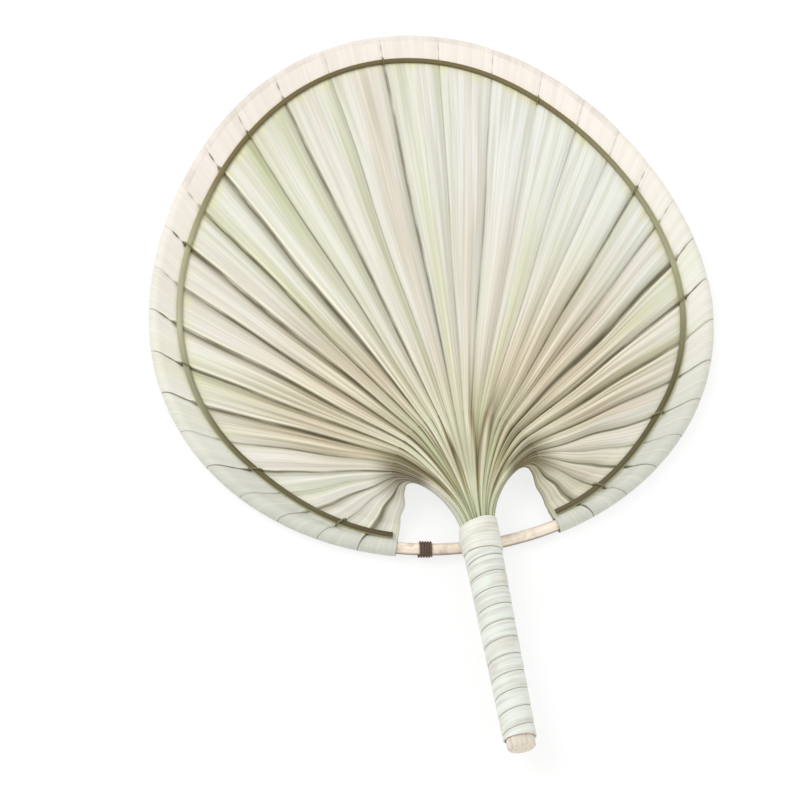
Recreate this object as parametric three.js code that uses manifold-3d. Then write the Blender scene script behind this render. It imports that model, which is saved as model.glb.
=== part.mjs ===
// A palm leaf fan lying face up: a whole leaf, its stalk the handle, its pleated
// segments folded round a bent hoop and clamped between two thin splint rings.
// Millimetres. +Y runs from the butt of the handle to the far rim, +Z is the front face.
import * as THREE from 'three';
import * as BufferGeometryUtils from 'three/addons/utils/BufferGeometryUtils.js';
import Module from 'manifold-3d';

// Fits
const clearance = 0.35; // between neighbouring pieces that touch in life
const slitWidth = 0.5; // between two leaf segments

// Blade outline, measured from the middle of the collar
const bladeHalfWidth = 133;
const bladeHalfLength = 150;
const hoopFootY = -4.411; // the hoop's middle line where it passes behind the stalk
const bladeFullnessShare = 0.03; // how far the lower sides swell and the upper sides draw in

// Leaf
const segmentCount = 34;
const leafThickness = 0.6;
const lobeEndDegrees = 164.5; // where the lowest fold meets the hoop, from the top of the blade
const lobeNarrowingShare = 0.2; // segments get narrower towards the two lobes
const fanCentreY = 25; // the upper folds all aim at this point
const baseRadius = 33.5; // from the fan centre to the ends of the leaf base
const shoulderRadius = 7; // the folds of a lobe turn round the shoulder
const shoulderDegrees = 70;
const leafBaseDrop = 1.5; // of the leaf below the axis of the handle, at the base radius
const basePleatShare = 0.3; // height of a pleat as a share of its width
const midPleatShare = 0.17;
const rimPleatShare = 0.03;
const midStationShare = 0.5; // place of the fullest pleat between leaf base and ring

// Hoop
const hoopRadius = 2.6;
const hoopSteps = 90;
const hoopSides = 8;
const foldClearance = 0.5; // between the hoop and the leaf folded round it
const spliceDegrees = 189.5; // place of the joint, on the bare stretch left of the collar
const scarfHalfLength = 5;
const scarfGap = 0.8; // along the hoop, between the two slanting ends

// Rings
const ringInset = 12.5; // from the hoop's middle line to the ring's
const ringFootInset = 8.5; // the same at the two lower ends
const ringDriftStartDegrees = 125; // the ring nears the hoop from here to its ends
const ringWidth = 3;
const ringThickness = 1.2;
const ringSteps = 60;
const ringEndMargin = 2.5; // ring ends stay short of the lobe's edge
const ringZoneHalfWidth = 2.6; // the leaf lies flat under a ring for this far
const ringApproach = 3; // a pleat flattens over this length before the ring
const layerGap = 0.3; // between the front and the folded-back layer, under the rings

// Stitches that tie the two rings through the leaf
const threadDiameter = 0.7;
const threadClearance = 0.42;
const stitchEvery = 3; // segments
const stitchFirst = 2;
const stitchTopShare = 0.6; // width of the loop's flat top as a share of its whole width

// Handle
const stalkTopRadius = 7.4;
const stalkButtRadius = 5.9;
const stalkButtRounding = 1.4;
const buttY = -100;
const stalkEndY = -1; // the leaf base carries on from here
const bareButtLength = 4.5;

// Winding on the handle
const stripThickness = 0.9;
const windingTurns = 10;
const windingGap = 0.7; // between two turns
const windingSteps = 24;
const stripEdgeShare = 0.9; // the strip keeps its full thickness over this share of its width

// Collar
const collarStartY = -13;
const collarEndY = 5;
const collarWall = 0.65;
const collarSides = 28;
const collarFullBelow = 3.4; // the collar keeps its full depth this far each side of the hoop
const collarSquareness = 4; // superellipse power of its underside at the hoop

// Leaf base, from the stalk's end to the folds' ends
const neckHalfWidth = 7.3;
const neckHalfHeight = 5.6;
const neckRise = 17; // length over which the folds run straight up before they bend out
const neckTurn = 11; // length over which they settle into their new direction
const neckRowShares = [0, 0.18, 0.4, 0.65, 1];

// Cord that binds the hoop's joint
const cordDiameter = 0.75;
const cordClearance = 0.3;
const cordPitch = 1.35;
const cordTurns = 5;
const cordSteps = 14;
const cordSides = 5;

const colours = {
  leaf: 0xe3e2cf,
  leafWarm: 0xdcd6b4,
  leafBase: 0xbdb889,
  hoop: 0xe0bfa0,
  ring: 0x77744a,
  stalk: 0xc9a184,
  strip: 0xd9dccb,
  collar: 0xe2e5d6,
  thread: 0x8d8663,
  cord: 0x4b3a2c,
};

const up = new THREE.Vector3(0, 0, 1);
const handleZ = hoopRadius + clearance + stalkTopRadius;
const leafBaseZ = handleZ - leafBaseDrop;
const layerZ = (layerGap + leafThickness) / 2;
const foldRadius = hoopRadius + foldClearance + leafThickness / 2;
const edgeOutset = foldRadius + leafThickness / 2;
const bladeCentreY = hoopFootY + (1 - bladeFullnessShare) * (bladeHalfLength - edgeOutset);
const windingStartY = buttY + bareButtLength;
const windingEndY = collarStartY - clearance;
const stripWidth = (windingEndY - windingStartY - windingTurns * windingGap) / (windingTurns + 1);
const wasm = await Module();
wasm.setup();

function radians(degrees) {
  return THREE.MathUtils.degToRad(degrees);
}

// Blade outline: an ellipse, fuller below; angle from +Y, positive towards +X

function hoopPoint(angle) {
  const across = Math.sin(angle) / (bladeHalfWidth - edgeOutset);
  const along = Math.cos(angle) / (bladeHalfLength - edgeOutset);
  const radius = (1 + bladeFullnessShare * Math.cos(3 * angle)) / Math.hypot(across, along);
  return new THREE.Vector3(radius * Math.sin(angle), bladeCentreY + radius * Math.cos(angle), 0);
}

function hoopTangent(angle) {
  const step = radians(0.05);
  return hoopPoint(angle + step).sub(hoopPoint(angle - step)).normalize();
}

function hoopNormal(angle) {
  const tangent = hoopTangent(angle);
  return new THREE.Vector3(-tangent.y, tangent.x, 0);
}

// Radius of the hoop's bend
function hoopBend(angle) {
  const step = radians(1);
  const way = hoopPoint(angle + step).distanceTo(hoopPoint(angle - step));
  return way / hoopTangent(angle + step).angleTo(hoopTangent(angle - step));
}

function ringInsetAt(angle) {
  const start = radians(ringDriftStartDegrees);
  const drift = THREE.MathUtils.smoothstep(Math.abs(angle), start, radians(lobeEndDegrees));
  return THREE.MathUtils.lerp(ringInset, ringFootInset, drift);
}

// Folds: one for each edge and each ridge of the segments, place from -1 to 1 across the leaf

function rimAngle(place) {
  const swing = (1 + lobeNarrowingShare) * place - lobeNarrowingShare * place ** 3;
  return radians(lobeEndDegrees) * swing;
}

function makeFold(place) {
  const angle = rimAngle(place);
  const rim = hoopPoint(angle);
  const pivot = new THREE.Vector3(0, fanCentreY, 0);
  let radius = baseRadius;
  const turn = Math.atan2(rim.x, rim.y - fanCentreY);
  if (Math.abs(turn) > radians(shoulderDegrees)) {
    const side = Math.sign(turn) * radians(shoulderDegrees);
    const reach = baseRadius - shoulderRadius;
    pivot.x += reach * Math.sin(side);
    pivot.y += reach * Math.cos(side);
    radius = shoulderRadius;
  }
  const direction = rim.clone().sub(pivot).normalize();
  const base = pivot.addScaledVector(direction, radius);
  const slant = direction.dot(hoopNormal(angle));
  const fold = { place, angle, rim, direction, base, slant, bend: hoopBend(angle) };
  const nearRing = foldPoint(fold, ringInsetAt(angle), 0);
  fold.ring = ringInsetAt(Math.atan2(nearRing.x, nearRing.y - bladeCentreY));
  return fold;
}

// A point of a fold, a given distance inside the hoop's middle line (measured square to it)
function foldPoint(fold, inset, z) {
  const reach = fold.bend * fold.slant;
  const way = reach - Math.sqrt(reach ** 2 - 2 * fold.bend * inset + inset ** 2);
  return fold.rim.clone().addScaledVector(fold.direction, -way).setZ(z);
}

function baseToRing(fold, share, inset) {
  return fold.base.clone().lerp(foldPoint(fold, inset, 0), share);
}

// Joins sections, each an equal loop of points, into one closed body that faces outwards

function loft(sections, closed = false) {
  const sides = sections[0].length;
  const points = sections.flat();
  const faces = wallFaces(sections.length, sides, closed);
  if (!closed) {
    const end = (sections.length - 1) * sides;
    for (const [a, b, c] of capFaces(sides)) {
      faces.push([a, c, b], [end + a, end + b, end + c]);
    }
  }
  const volume = faces.reduce((sum, [a, b, c]) => (
    sum + points[a].dot(points[b].clone().cross(points[c]))), 0);
  const outward = volume > 0 ? faces : faces.map(([a, b, c]) => [a, c, b]);
  const geometry = new THREE.BufferGeometry();
  const positions = points.flatMap((point) => point.toArray());
  geometry.setAttribute('position', new THREE.Float32BufferAttribute(positions, 3));
  geometry.setIndex(outward.flat());
  geometry.computeVertexNormals();
  return geometry;
}

function wallFaces(rowCount, sides, closed) {
  const faces = [];
  const last = closed ? rowCount : rowCount - 1;
  for (let row = 0; row < last; row += 1) {
    const here = row * sides;
    const next = ((row + 1) % rowCount) * sides;
    for (let side = 0; side < sides; side += 1) {
      const other = (side + 1) % sides;
      faces.push([here + side, here + other, next + side], [here + other, next + other, next + side]);
    }
  }
  return faces;
}

// A band of faces between the first half of a loop and its second half, walked backwards
function capFaces(sides) {
  const faces = [];
  let low = 0;
  let high = sides - 1;
  while (high - low > 1) {
    faces.push([low, low + 1, high]);
    if (high - 1 > low + 1) {
      faces.push([low + 1, high - 1, high]);
    }
    low += 1;
    high -= 1;
  }
  return faces;
}

// Leaf segments

// One V section: three points above and three below, edges drawn in by half a slit
function pleatSection(points, lift, inwards, ridgeRise) {
  const [left, ridge, right] = points.map((point) => point.clone());
  const across = right.clone().sub(left).setZ(0).normalize();
  left.addScaledVector(across, inwards[0]);
  right.addScaledVector(across, -inwards[1]);
  ridge.z += ridgeRise;
  const half = leafThickness / 2;
  const lower = [left, ridge, right].map((point) => point.clone().addScaledVector(lift, -half));
  const upper = [right, ridge, left].map((point) => point.clone().addScaledVector(lift, half));
  return [...lower, ...upper];
}

function isStitched(boundary) {
  return boundary % stitchEvery === stitchFirst;
}

function stitchSlit(boundary) {
  return isStitched(boundary) ? threadDiameter + 2 * threadClearance : slitWidth;
}

// The fold round the hoop: its corners lie this far apart, the first just inside the hoop's top
const foldStep = radians(45);
const foldCornerCount = 6;

function segmentGeometry(index) {
  const folds = [0, 0.5, 1].map((half) => makeFold(((index + half) * 2) / segmentCount - 1));
  const plain = [slitWidth / 2, slitWidth / 2];
  const stitched = [stitchSlit(index) / 2, stitchSlit(index + 1) / 2];
  const sections = [];
  const width = (points) => points[2].distanceTo(points[0]);

  const base = folds.map((fold) => fold.base.clone().setZ(leafBaseZ));
  sections.push(pleatSection(base, up, plain, basePleatShare * width(base)));

  const approach = (fold) => fold.ring + ringZoneHalfWidth + ringApproach;
  const middleZ = THREE.MathUtils.lerp(leafBaseZ, layerZ, midStationShare);
  const middle = folds.map((fold) => baseToRing(fold, midStationShare, approach(fold)).setZ(middleZ));
  sections.push(pleatSection(middle, up, plain, midPleatShare * width(middle)));

  const before = folds.map((fold) => foldPoint(fold, approach(fold), layerZ + leafThickness / 2));
  sections.push(pleatSection(before, up, plain, rimPleatShare * width(before)));

  for (const side of [ringZoneHalfWidth, -ringZoneHalfWidth]) {
    const points = folds.map((fold) => foldPoint(fold, fold.ring + side, layerZ));
    sections.push(pleatSection(points, up, stitched, 0));
  }
  const cornerRadius = foldRadius / Math.cos(foldStep / 2);
  for (let step = 0; step < foldCornerCount; step += 1) {
    const corner = (step - 1 / 2) * foldStep;
    const inset = -cornerRadius * Math.sin(corner);
    const points = folds.map((fold) => foldPoint(fold, inset, cornerRadius * Math.cos(corner)));
    const outwards = hoopNormal(folds[1].angle);
    const lift = outwards.multiplyScalar(Math.sin(corner)).setZ(Math.cos(corner));
    sections.push(pleatSection(points, lift, plain, 0));
  }
  const down = up.clone().negate();
  for (const side of [-ringZoneHalfWidth, ringZoneHalfWidth]) {
    const points = folds.map((fold) => foldPoint(fold, fold.ring + side, -layerZ));
    sections.push(pleatSection(points, down, stitched, 0));
  }
  return loft(sections);
}

// Leaf base: the folds bundled at the collar, spreading to the segments

function neckPath(fold) {
  const start = new THREE.Vector3(fold.place * neckHalfWidth, stalkEndY + clearance, handleZ);
  const end = fold.base.clone().addScaledVector(fold.direction, -clearance).setZ(leafBaseZ);
  const rise = start.clone().add(new THREE.Vector3(0, neckRise, 0));
  const turn = end.clone().addScaledVector(fold.direction, -neckTurn);
  return new THREE.CubicBezierCurve3(start, rise, turn, end);
}

function neckRow(paths, share) {
  const points = paths.map((path) => path.getPoint(share));
  const upper = [];
  const lower = [];
  points.forEach((point, column) => {
    const isRidge = column % 2 === 1;
    const ridge = isRidge ? basePleatShare * points[column + 1].distanceTo(points[column - 1]) : 0;
    const place = (2 * column) / (points.length - 1) - 1;
    const bulge = neckHalfHeight * (1 - share) ** 2 * Math.sqrt(1 - place ** 2);
    const half = leafThickness / 2 + bulge;
    upper.push(point.clone().setZ(point.z + half + ridge));
    lower.push(point.clone().setZ(point.z - half + ridge));
  });
  return [...lower, ...upper.reverse()];
}

function neckGeometry() {
  const columns = 2 * segmentCount;
  const paths = [];
  for (let column = 0; column <= columns; column += 1) {
    paths.push(neckPath(makeFold((2 * column) / columns - 1)));
  }
  return loft(neckRowShares.map((share) => neckRow(paths, share)));
}

// Hoop and rings

function tubeSection(centre, across, rise, sides, radius) {
  const points = [];
  for (let side = 0; side < sides; side += 1) {
    const turn = ((side + 0.5) / sides) * 2 * Math.PI;
    const point = centre.clone().addScaledVector(across, radius * Math.cos(turn));
    points.push(point.addScaledVector(rise, radius * Math.sin(turn)));
  }
  return points;
}

function hoopSection(angle, radius = hoopRadius) {
  return tubeSection(hoopPoint(angle), hoopNormal(angle), up, hoopSides, radius);
}

// The hoop's two ends are cut on a slant and lie on each other
function hoopGeometry() {
  const start = radians(spliceDegrees);
  const tangent = hoopTangent(start);
  const sections = [];
  for (let step = 0; step <= hoopSteps; step += 1) {
    const section = hoopSection(start + (step / hoopSteps) * 2 * Math.PI);
    const isStart = step === 0;
    if (isStart || step === hoopSteps) {
      const gap = isStart ? scarfGap / 2 : -scarfGap / 2;
      for (const point of section) {
        point.addScaledVector(tangent, gap + (point.z / hoopRadius) * scarfHalfLength);
      }
    }
    sections.push(section);
  }
  return loft(sections);
}

// A thin splint, flat towards the leaf and gently arched away from it
function ringGeometry(face) {
  const limit = radians(lobeEndDegrees) - ringEndMargin / bladeHalfLength;
  const bed = layerZ + leafThickness / 2 + clearance;
  const sections = [];
  for (let step = 0; step <= ringSteps; step += 1) {
    const angle = THREE.MathUtils.lerp(-limit, limit, step / ringSteps);
    const normal = hoopNormal(angle);
    const middle = hoopPoint(angle).addScaledVector(normal, -ringInsetAt(angle));
    const half = ringWidth / 2;
    const shoulder = bed + ringThickness / 2;
    const outline = [[half, bed], [half, shoulder], [0, bed + ringThickness], [-half, shoulder], [-half, bed]];
    const section = outline.map(([out, z]) => middle.clone().addScaledVector(normal, out).setZ(face * z));
    sections.push(section);
  }
  return loft(sections);
}

// A stitch: one loop of thread round both rings, through the slit between two segments
function stitchGeometry(boundary) {
  const fold = makeFold((2 * boundary) / segmentCount - 1);
  const middle = foldPoint(fold, fold.ring, 0);
  const out = fold.direction;
  const across = new THREE.Vector3(-out.y, out.x, 0);
  const radius = threadDiameter / 2;
  const halfWidth = (ringWidth / 2 + threadClearance + radius) / fold.slant;
  const bed = layerZ + leafThickness / 2 + clearance;
  const halfHeight = bed + ringThickness + threadClearance + radius;
  const shoulder = bed + ringThickness / 2;
  const quarter = [[1, shoulder], [stitchTopShare, halfHeight], [-stitchTopShare, halfHeight], [-1, shoulder]];
  const corners = [1, -1].flatMap((face) => quarter.map(([side, z]) => (
    middle.clone().addScaledVector(out, face * side * halfWidth).setZ(face * z))));
  const sections = corners.map((corner) => {
    const away = corner.clone().sub(middle).normalize();
    return tubeSection(corner, away, across, cordSides, radius);
  });
  return loft(sections, true);
}

// Windings: a strip or cord wound on a core in one unbroken run

// The ends run straight for one thickness of the strip
function windingSections({ turns, steps, thickness, centreAt, frameAt, outlineAt }) {
  const sections = [];
  const count = Math.round(turns * steps);
  for (let step = 0; step <= count; step += 1) {
    const turn = (step / steps) * 2 * Math.PI;
    const { across, rise, along } = frameAt(step / count);
    const radial = across.clone().multiplyScalar(Math.cos(turn)).addScaledVector(rise, Math.sin(turn));
    const centre = centreAt(step / count);
    const section = outlineAt(step / count).map(([out, lengthwise]) => (
      centre.clone().addScaledVector(radial, out).addScaledVector(along, lengthwise)));
    const onwards = rise.clone().multiplyScalar(Math.cos(turn)).addScaledVector(across, -Math.sin(turn));
    if (step === 0) {
      sections.push(section.map((point) => point.clone().addScaledVector(onwards, -thickness)));
    }
    sections.push(section);
    if (step === count) {
      sections.push(section.map((point) => point.clone().addScaledVector(onwards, thickness)));
    }
  }
  return sections;
}

// The least distance between points that lie more than half a turn apart
function leastGap(sections, steps) {
  let least = Infinity;
  for (let first = 0; first < sections.length; first += 1) {
    const from = first + Math.round(steps / 2);
    for (let second = from; second < Math.min(sections.length, from + steps); second += 1) {
      for (const a of sections[first]) {
        for (const b of sections[second]) {
          least = Math.min(least, a.distanceTo(b));
        }
      }
    }
  }
  return least;
}

function stalkRadius(y) {
  const share = THREE.MathUtils.inverseLerp(buttY, collarStartY, y);
  return THREE.MathUtils.lerp(stalkButtRadius, stalkTopRadius, THREE.MathUtils.clamp(share, 0, 1));
}

function handleWindingGeometry() {
  const half = stripWidth / 2;
  const full = half * stripEdgeShare;
  const yAt = (share) => THREE.MathUtils.lerp(windingStartY + half, windingEndY - half, share);
  const axes = {
    across: new THREE.Vector3(0, 0, -1),
    rise: new THREE.Vector3(1, 0, 0),
    along: new THREE.Vector3(0, 1, 0),
  };
  const sections = windingSections({
    turns: windingTurns,
    steps: windingSteps,
    thickness: stripThickness,
    centreAt: (share) => new THREE.Vector3(0, yAt(share), handleZ),
    frameAt: () => axes,
    outlineAt: (share) => {
      const inner = stalkRadius(yAt(share)) + clearance;
      const outer = inner + stripThickness;
      const middle = (inner + outer) / 2;
      return [[inner, -full], [middle, -half], [outer, -full], [outer, full], [middle, half], [inner, full]];
    },
  });
  console.log(`handle_winding least gap ${leastGap(sections, windingSteps).toFixed(2)} mm`);
  return loft(sections);
}

function hoopBindingGeometry() {
  const angle = radians(spliceDegrees);
  const tangent = hoopTangent(angle);
  const middle = hoopPoint(angle);
  const axes = { across: hoopNormal(angle), rise: up.clone(), along: tangent };
  const length = cordPitch * cordTurns;
  const radius = cordDiameter / 2;
  const path = hoopRadius + cordClearance + radius;
  const outline = [];
  for (let side = 0; side < cordSides; side += 1) {
    const turn = (-side / cordSides) * 2 * Math.PI;
    outline.push([path + radius * Math.cos(turn), radius * Math.sin(turn)]);
  }
  const sections = windingSections({
    turns: cordTurns,
    steps: cordSteps,
    thickness: cordDiameter,
    centreAt: (share) => middle.clone().addScaledVector(tangent, (share - 1 / 2) * length),
    frameAt: () => axes,
    outlineAt: () => outline,
  });
  console.log(`hoop_binding least gap ${leastGap(sections, cordSteps).toFixed(2)} mm`);
  return loft(sections);
}

// Stalk and collar

function stalkGeometry() {
  const flat = stalkButtRadius - stalkButtRounding;
  const profile = [[0, buttY], [flat, buttY]];
  for (const share of [1 / 3, 2 / 3, 1]) {
    const turn = (share * Math.PI) / 2;
    const radius = flat + stalkButtRounding * Math.sin(turn);
    profile.push([radius, buttY + stalkButtRounding * (1 - Math.cos(turn))]);
  }
  profile.push([stalkTopRadius, collarStartY], [stalkTopRadius, stalkEndY], [0, stalkEndY]);
  const geometry = new THREE.LatheGeometry(profile.map(([x, y]) => new THREE.Vector2(x, y)), windingSteps);
  return geometry.translate(0, 0, handleZ);
}

// Half width of the leaf base where the collar ends
function neckReach() {
  const edge = neckPath(makeFold(1));
  const first = edge.getPoint(0);
  const second = edge.getPoint(neckRowShares[1]);
  return first.lerp(second, (collarEndY - first.y) / (second.y - first.y)).x;
}

function collarSection(y, wall) {
  const reach = Math.abs(y - hoopFootY);
  const end = y < hoopFootY ? hoopFootY - collarStartY : collarEndY - hoopFootY;
  const round = THREE.MathUtils.clamp((reach - collarFullBelow) / (end - collarFullBelow), 0, 1);
  const along = THREE.MathUtils.inverseLerp(collarStartY, collarEndY, y);
  const inner = THREE.MathUtils.lerp(stalkTopRadius, neckReach(), along) + clearance;
  const radius = inner + wall;
  const hoopDepth = handleZ + hoopRadius + clearance;
  const depth = THREE.MathUtils.lerp(hoopDepth, inner, round) + wall;
  const power = 2 / THREE.MathUtils.lerp(collarSquareness, 2, round);
  const points = [];
  for (let side = 0; side < collarSides; side += 1) {
    const turn = (side / collarSides) * 2 * Math.PI;
    const x = Math.cos(turn);
    const z = Math.sin(turn);
    if (z >= 0) {
      points.push(new THREE.Vector3(radius * x, y, handleZ + radius * z));
    } else {
      const wide = Math.sign(x) * Math.abs(x) ** power;
      points.push(new THREE.Vector3(radius * wide, y, handleZ - depth * Math.abs(z) ** power));
    }
  }
  return points;
}

function collarSleeve(wall, overrun) {
  const stops = [collarStartY, hoopFootY - collarFullBelow, hoopFootY + collarFullBelow, collarEndY];
  const sections = stops.map((y) => collarSection(y, wall));
  for (const point of sections[0]) {
    point.y -= overrun;
  }
  for (const point of sections[sections.length - 1]) {
    point.y += overrun;
  }
  return toManifold(loft(sections));
}

function toManifold(geometry) {
  const bare = geometry.clone();
  bare.deleteAttribute('normal');
  bare.deleteAttribute('uv');
  const merged = BufferGeometryUtils.mergeVertices(bare);
  const vertProperties = new Float32Array(merged.getAttribute('position').array);
  const triVerts = new Uint32Array(merged.getIndex().array);
  return new wasm.Manifold(new wasm.Mesh({ numProp: 3, vertProperties, triVerts }));
}

function fromManifold(solid) {
  const { vertProperties, triVerts } = solid.getMesh();
  const geometry = new THREE.BufferGeometry();
  geometry.setAttribute('position', new THREE.Float32BufferAttribute(vertProperties, 3));
  geometry.setIndex([...triVerts]);
  return geometry.toNonIndexed();
}

// A broad strip bound once round stalk, leaf base and hoop, open at the sides for the hoop
function collarGeometry() {
  const rod = [];
  const step = (2 * Math.PI) / hoopSteps;
  for (let place = -2; place <= 2; place += 1) {
    rod.push(hoopSection(Math.PI + place * step, hoopRadius + clearance));
  }
  const shell = collarSleeve(collarWall, 0).subtract(collarSleeve(0, collarWall));
  const geometry = fromManifold(shell.subtract(toManifold(loft(rod))));
  geometry.computeVertexNormals();
  return geometry;
}

// Assembly

function addPiece(group, name, geometry, color, roughness) {
  const material = new THREE.MeshStandardMaterial({ color, roughness, metalness: 0, flatShading: true });
  const mesh = new THREE.Mesh(geometry, material);
  mesh.name = name;
  group.add(mesh);
}

function numbered(name, number) {
  return `${name}_${String(number).padStart(2, '0')}`;
}

function buildFan() {
  const fan = new THREE.Group();
  addPiece(fan, 'stalk', stalkGeometry(), colours.stalk, 0.8);
  addPiece(fan, 'leaf_base', neckGeometry(), colours.leafBase, 0.7);
  for (let index = 0; index < segmentCount; index += 1) {
    const color = index % 2 === 0 ? colours.leaf : colours.leafWarm;
    addPiece(fan, numbered('leaf_segment', index + 1), segmentGeometry(index), color, 0.65);
  }
  addPiece(fan, 'rim_hoop', hoopGeometry(), colours.hoop, 0.55);
  addPiece(fan, 'front_ring', ringGeometry(1), colours.ring, 0.6);
  addPiece(fan, 'back_ring', ringGeometry(-1), colours.ring, 0.6);
  let stitch = 0;
  for (let boundary = 1; boundary < segmentCount; boundary += 1) {
    if (isStitched(boundary)) {
      stitch += 1;
      addPiece(fan, numbered('ring_stitch', stitch), stitchGeometry(boundary), colours.thread, 0.9);
    }
  }
  addPiece(fan, 'handle_winding', handleWindingGeometry(), colours.strip, 0.7);
  addPiece(fan, 'collar_binding', collarGeometry(), colours.collar, 0.7);
  addPiece(fan, 'hoop_binding', hoopBindingGeometry(), colours.cord, 0.85);
  return fan;
}

// The origin is the middle of the underside
const fan = buildFan();
const box = new THREE.Box3().setFromObject(fan);
fan.position.set(-(box.min.x + box.max.x) / 2, -(box.min.y + box.max.y) / 2, -box.min.z);

export default fan;
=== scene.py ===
"""The looks of a palm leaf fan that lies face up: one whole leaf, pleated, folded round a cane hoop.

Every piece is built in the solids' own frame: +Y from the butt of the handle to the far rim, +Z out of
the front face. Lengths are in metres. While a piece is made, y = 0 is the middle of the collar and z = 0
the middle of the hoop, and settle() moves its mesh to its place on the solids.
"""

import logging
import math
import random
from collections.abc import Callable, Iterator, Sequence
from contextlib import contextmanager
from dataclasses import dataclass, field
from enum import Enum
from typing import Any

import bmesh
import bpy
import numpy as np
from mathutils import Matrix, Vector


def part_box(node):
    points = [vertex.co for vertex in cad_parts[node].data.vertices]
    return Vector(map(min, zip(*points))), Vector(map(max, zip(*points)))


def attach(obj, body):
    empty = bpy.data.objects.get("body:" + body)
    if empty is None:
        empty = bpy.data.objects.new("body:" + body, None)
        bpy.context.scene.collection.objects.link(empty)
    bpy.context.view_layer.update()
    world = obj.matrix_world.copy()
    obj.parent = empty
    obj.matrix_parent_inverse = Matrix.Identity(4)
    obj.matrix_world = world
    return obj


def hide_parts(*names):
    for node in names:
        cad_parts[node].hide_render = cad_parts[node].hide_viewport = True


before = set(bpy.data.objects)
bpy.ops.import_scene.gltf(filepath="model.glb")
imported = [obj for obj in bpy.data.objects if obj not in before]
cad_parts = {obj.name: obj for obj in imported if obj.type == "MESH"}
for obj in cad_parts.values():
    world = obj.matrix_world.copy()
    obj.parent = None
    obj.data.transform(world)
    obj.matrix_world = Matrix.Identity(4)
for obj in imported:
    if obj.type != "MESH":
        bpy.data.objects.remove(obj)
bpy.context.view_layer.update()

log = logging.getLogger("palm_leaf_fan")

MM = 0.001
BODY = "root"
UP = Vector((0.0, 0.0, 1.0))
WHITE = (1.0, 1.0, 1.0, 1.0)
LEAF_MAPS = ("fibre", "crease", "tone", "zone")
SAME_POINT = 0.001 * MM  # vertices this near each other are merged

Colour = tuple[float, float, float, float]
Link = bpy.types.NodeSocket
Stops = Sequence[tuple[float, str]]


class Slot(Enum):
    """The material slots that the record names."""

    LEAF = "leaf"
    LEAF_BASE = "leaf_base"
    HOOP = "hoop"
    RING = "ring"
    STALK = "stalk"
    STRIP = "strip"
    COLLAR = "collar"
    THREAD = "thread"
    CORD = "cord"


# Modelling by hand


def select_only(*chosen: bpy.types.Object) -> None:
    """Leaves edit mode and selects some objects alone, the last of them active.

    Args:
        chosen: The objects, none to deselect everything.
    """
    if bpy.context.object and bpy.context.object.mode != "OBJECT":
        bpy.ops.object.mode_set(mode="OBJECT")
    bpy.ops.object.select_all(action="DESELECT")
    for piece in chosen:
        piece.select_set(True)
        bpy.context.view_layer.objects.active = piece


@contextmanager
def editing(piece: bpy.types.Object) -> Iterator[None]:
    """Opens a piece in edit mode, all of it selected, and closes it again.

    Args:
        piece: The mesh object.

    Returns:
        The context, which gives nothing.
    """
    select_only(piece)
    bpy.ops.object.mode_set(mode="EDIT")
    bpy.ops.mesh.select_all(action="SELECT")
    yield
    bpy.ops.object.mode_set(mode="OBJECT")


def adopt(name: str) -> bpy.types.Object:
    """Names the object that an operator has just added.

    Args:
        name: The piece's name, which its mesh gets too.

    Returns:
        The object.
    """
    piece = bpy.context.object
    piece.name = name
    piece.data.name = name
    return piece


def lay_sheet(name: str, points: np.ndarray, maps: dict[str, np.ndarray]) -> bpy.types.Object:
    """Adds a grid, shapes it as a sheet and writes its UV maps.

    Args:
        name: The piece's name.
        points: The place of each vertex, as rows x columns x 3.
        maps: Each map's pairs of numbers, as rows x columns x 2.

    Returns:
        The sheet, its vertices in row order.
    """
    rows, columns = points.shape[:2]
    select_only()
    cells = {"x_subdivisions": columns - 1, "y_subdivisions": rows - 1}
    bpy.ops.mesh.primitive_grid_add(**cells, size=1.0, calc_uvs=False)
    sheet = adopt(name)
    mesh = sheet.data
    flat = np.zeros(rows * columns * 3)
    mesh.vertices.foreach_get("co", flat)
    column, row = np.rint((flat.reshape(-1, 3)[:, :2] + 0.5) * (columns - 1, rows - 1)).astype(int).T
    mesh.vertices.foreach_set("co", points[row, column].ravel())
    mesh.update()
    corners = np.zeros(len(mesh.loops), dtype=np.int32)
    mesh.loops.foreach_get("vertex_index", corners)
    for layer, values in maps.items():
        pairs = values.reshape(-1, 2)[corners]
        mesh.uv_layers.new(name=layer).uv.foreach_set("vector", pairs.astype(np.float32).ravel())
    return sheet


def rounded_loop(
    centre: Vector, across: Vector, rise: Vector, radius: float, sides: int, start: float = 0.0
) -> list[Vector]:
    """A circle of points round a centre, in the plane of two directions, half a side past its start."""
    turns = [start + 2 * math.pi * (side + 0.5) / sides for side in range(sides)]
    return [centre + across * (radius * math.cos(turn)) + rise * (radius * math.sin(turn)) for turn in turns]


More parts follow.
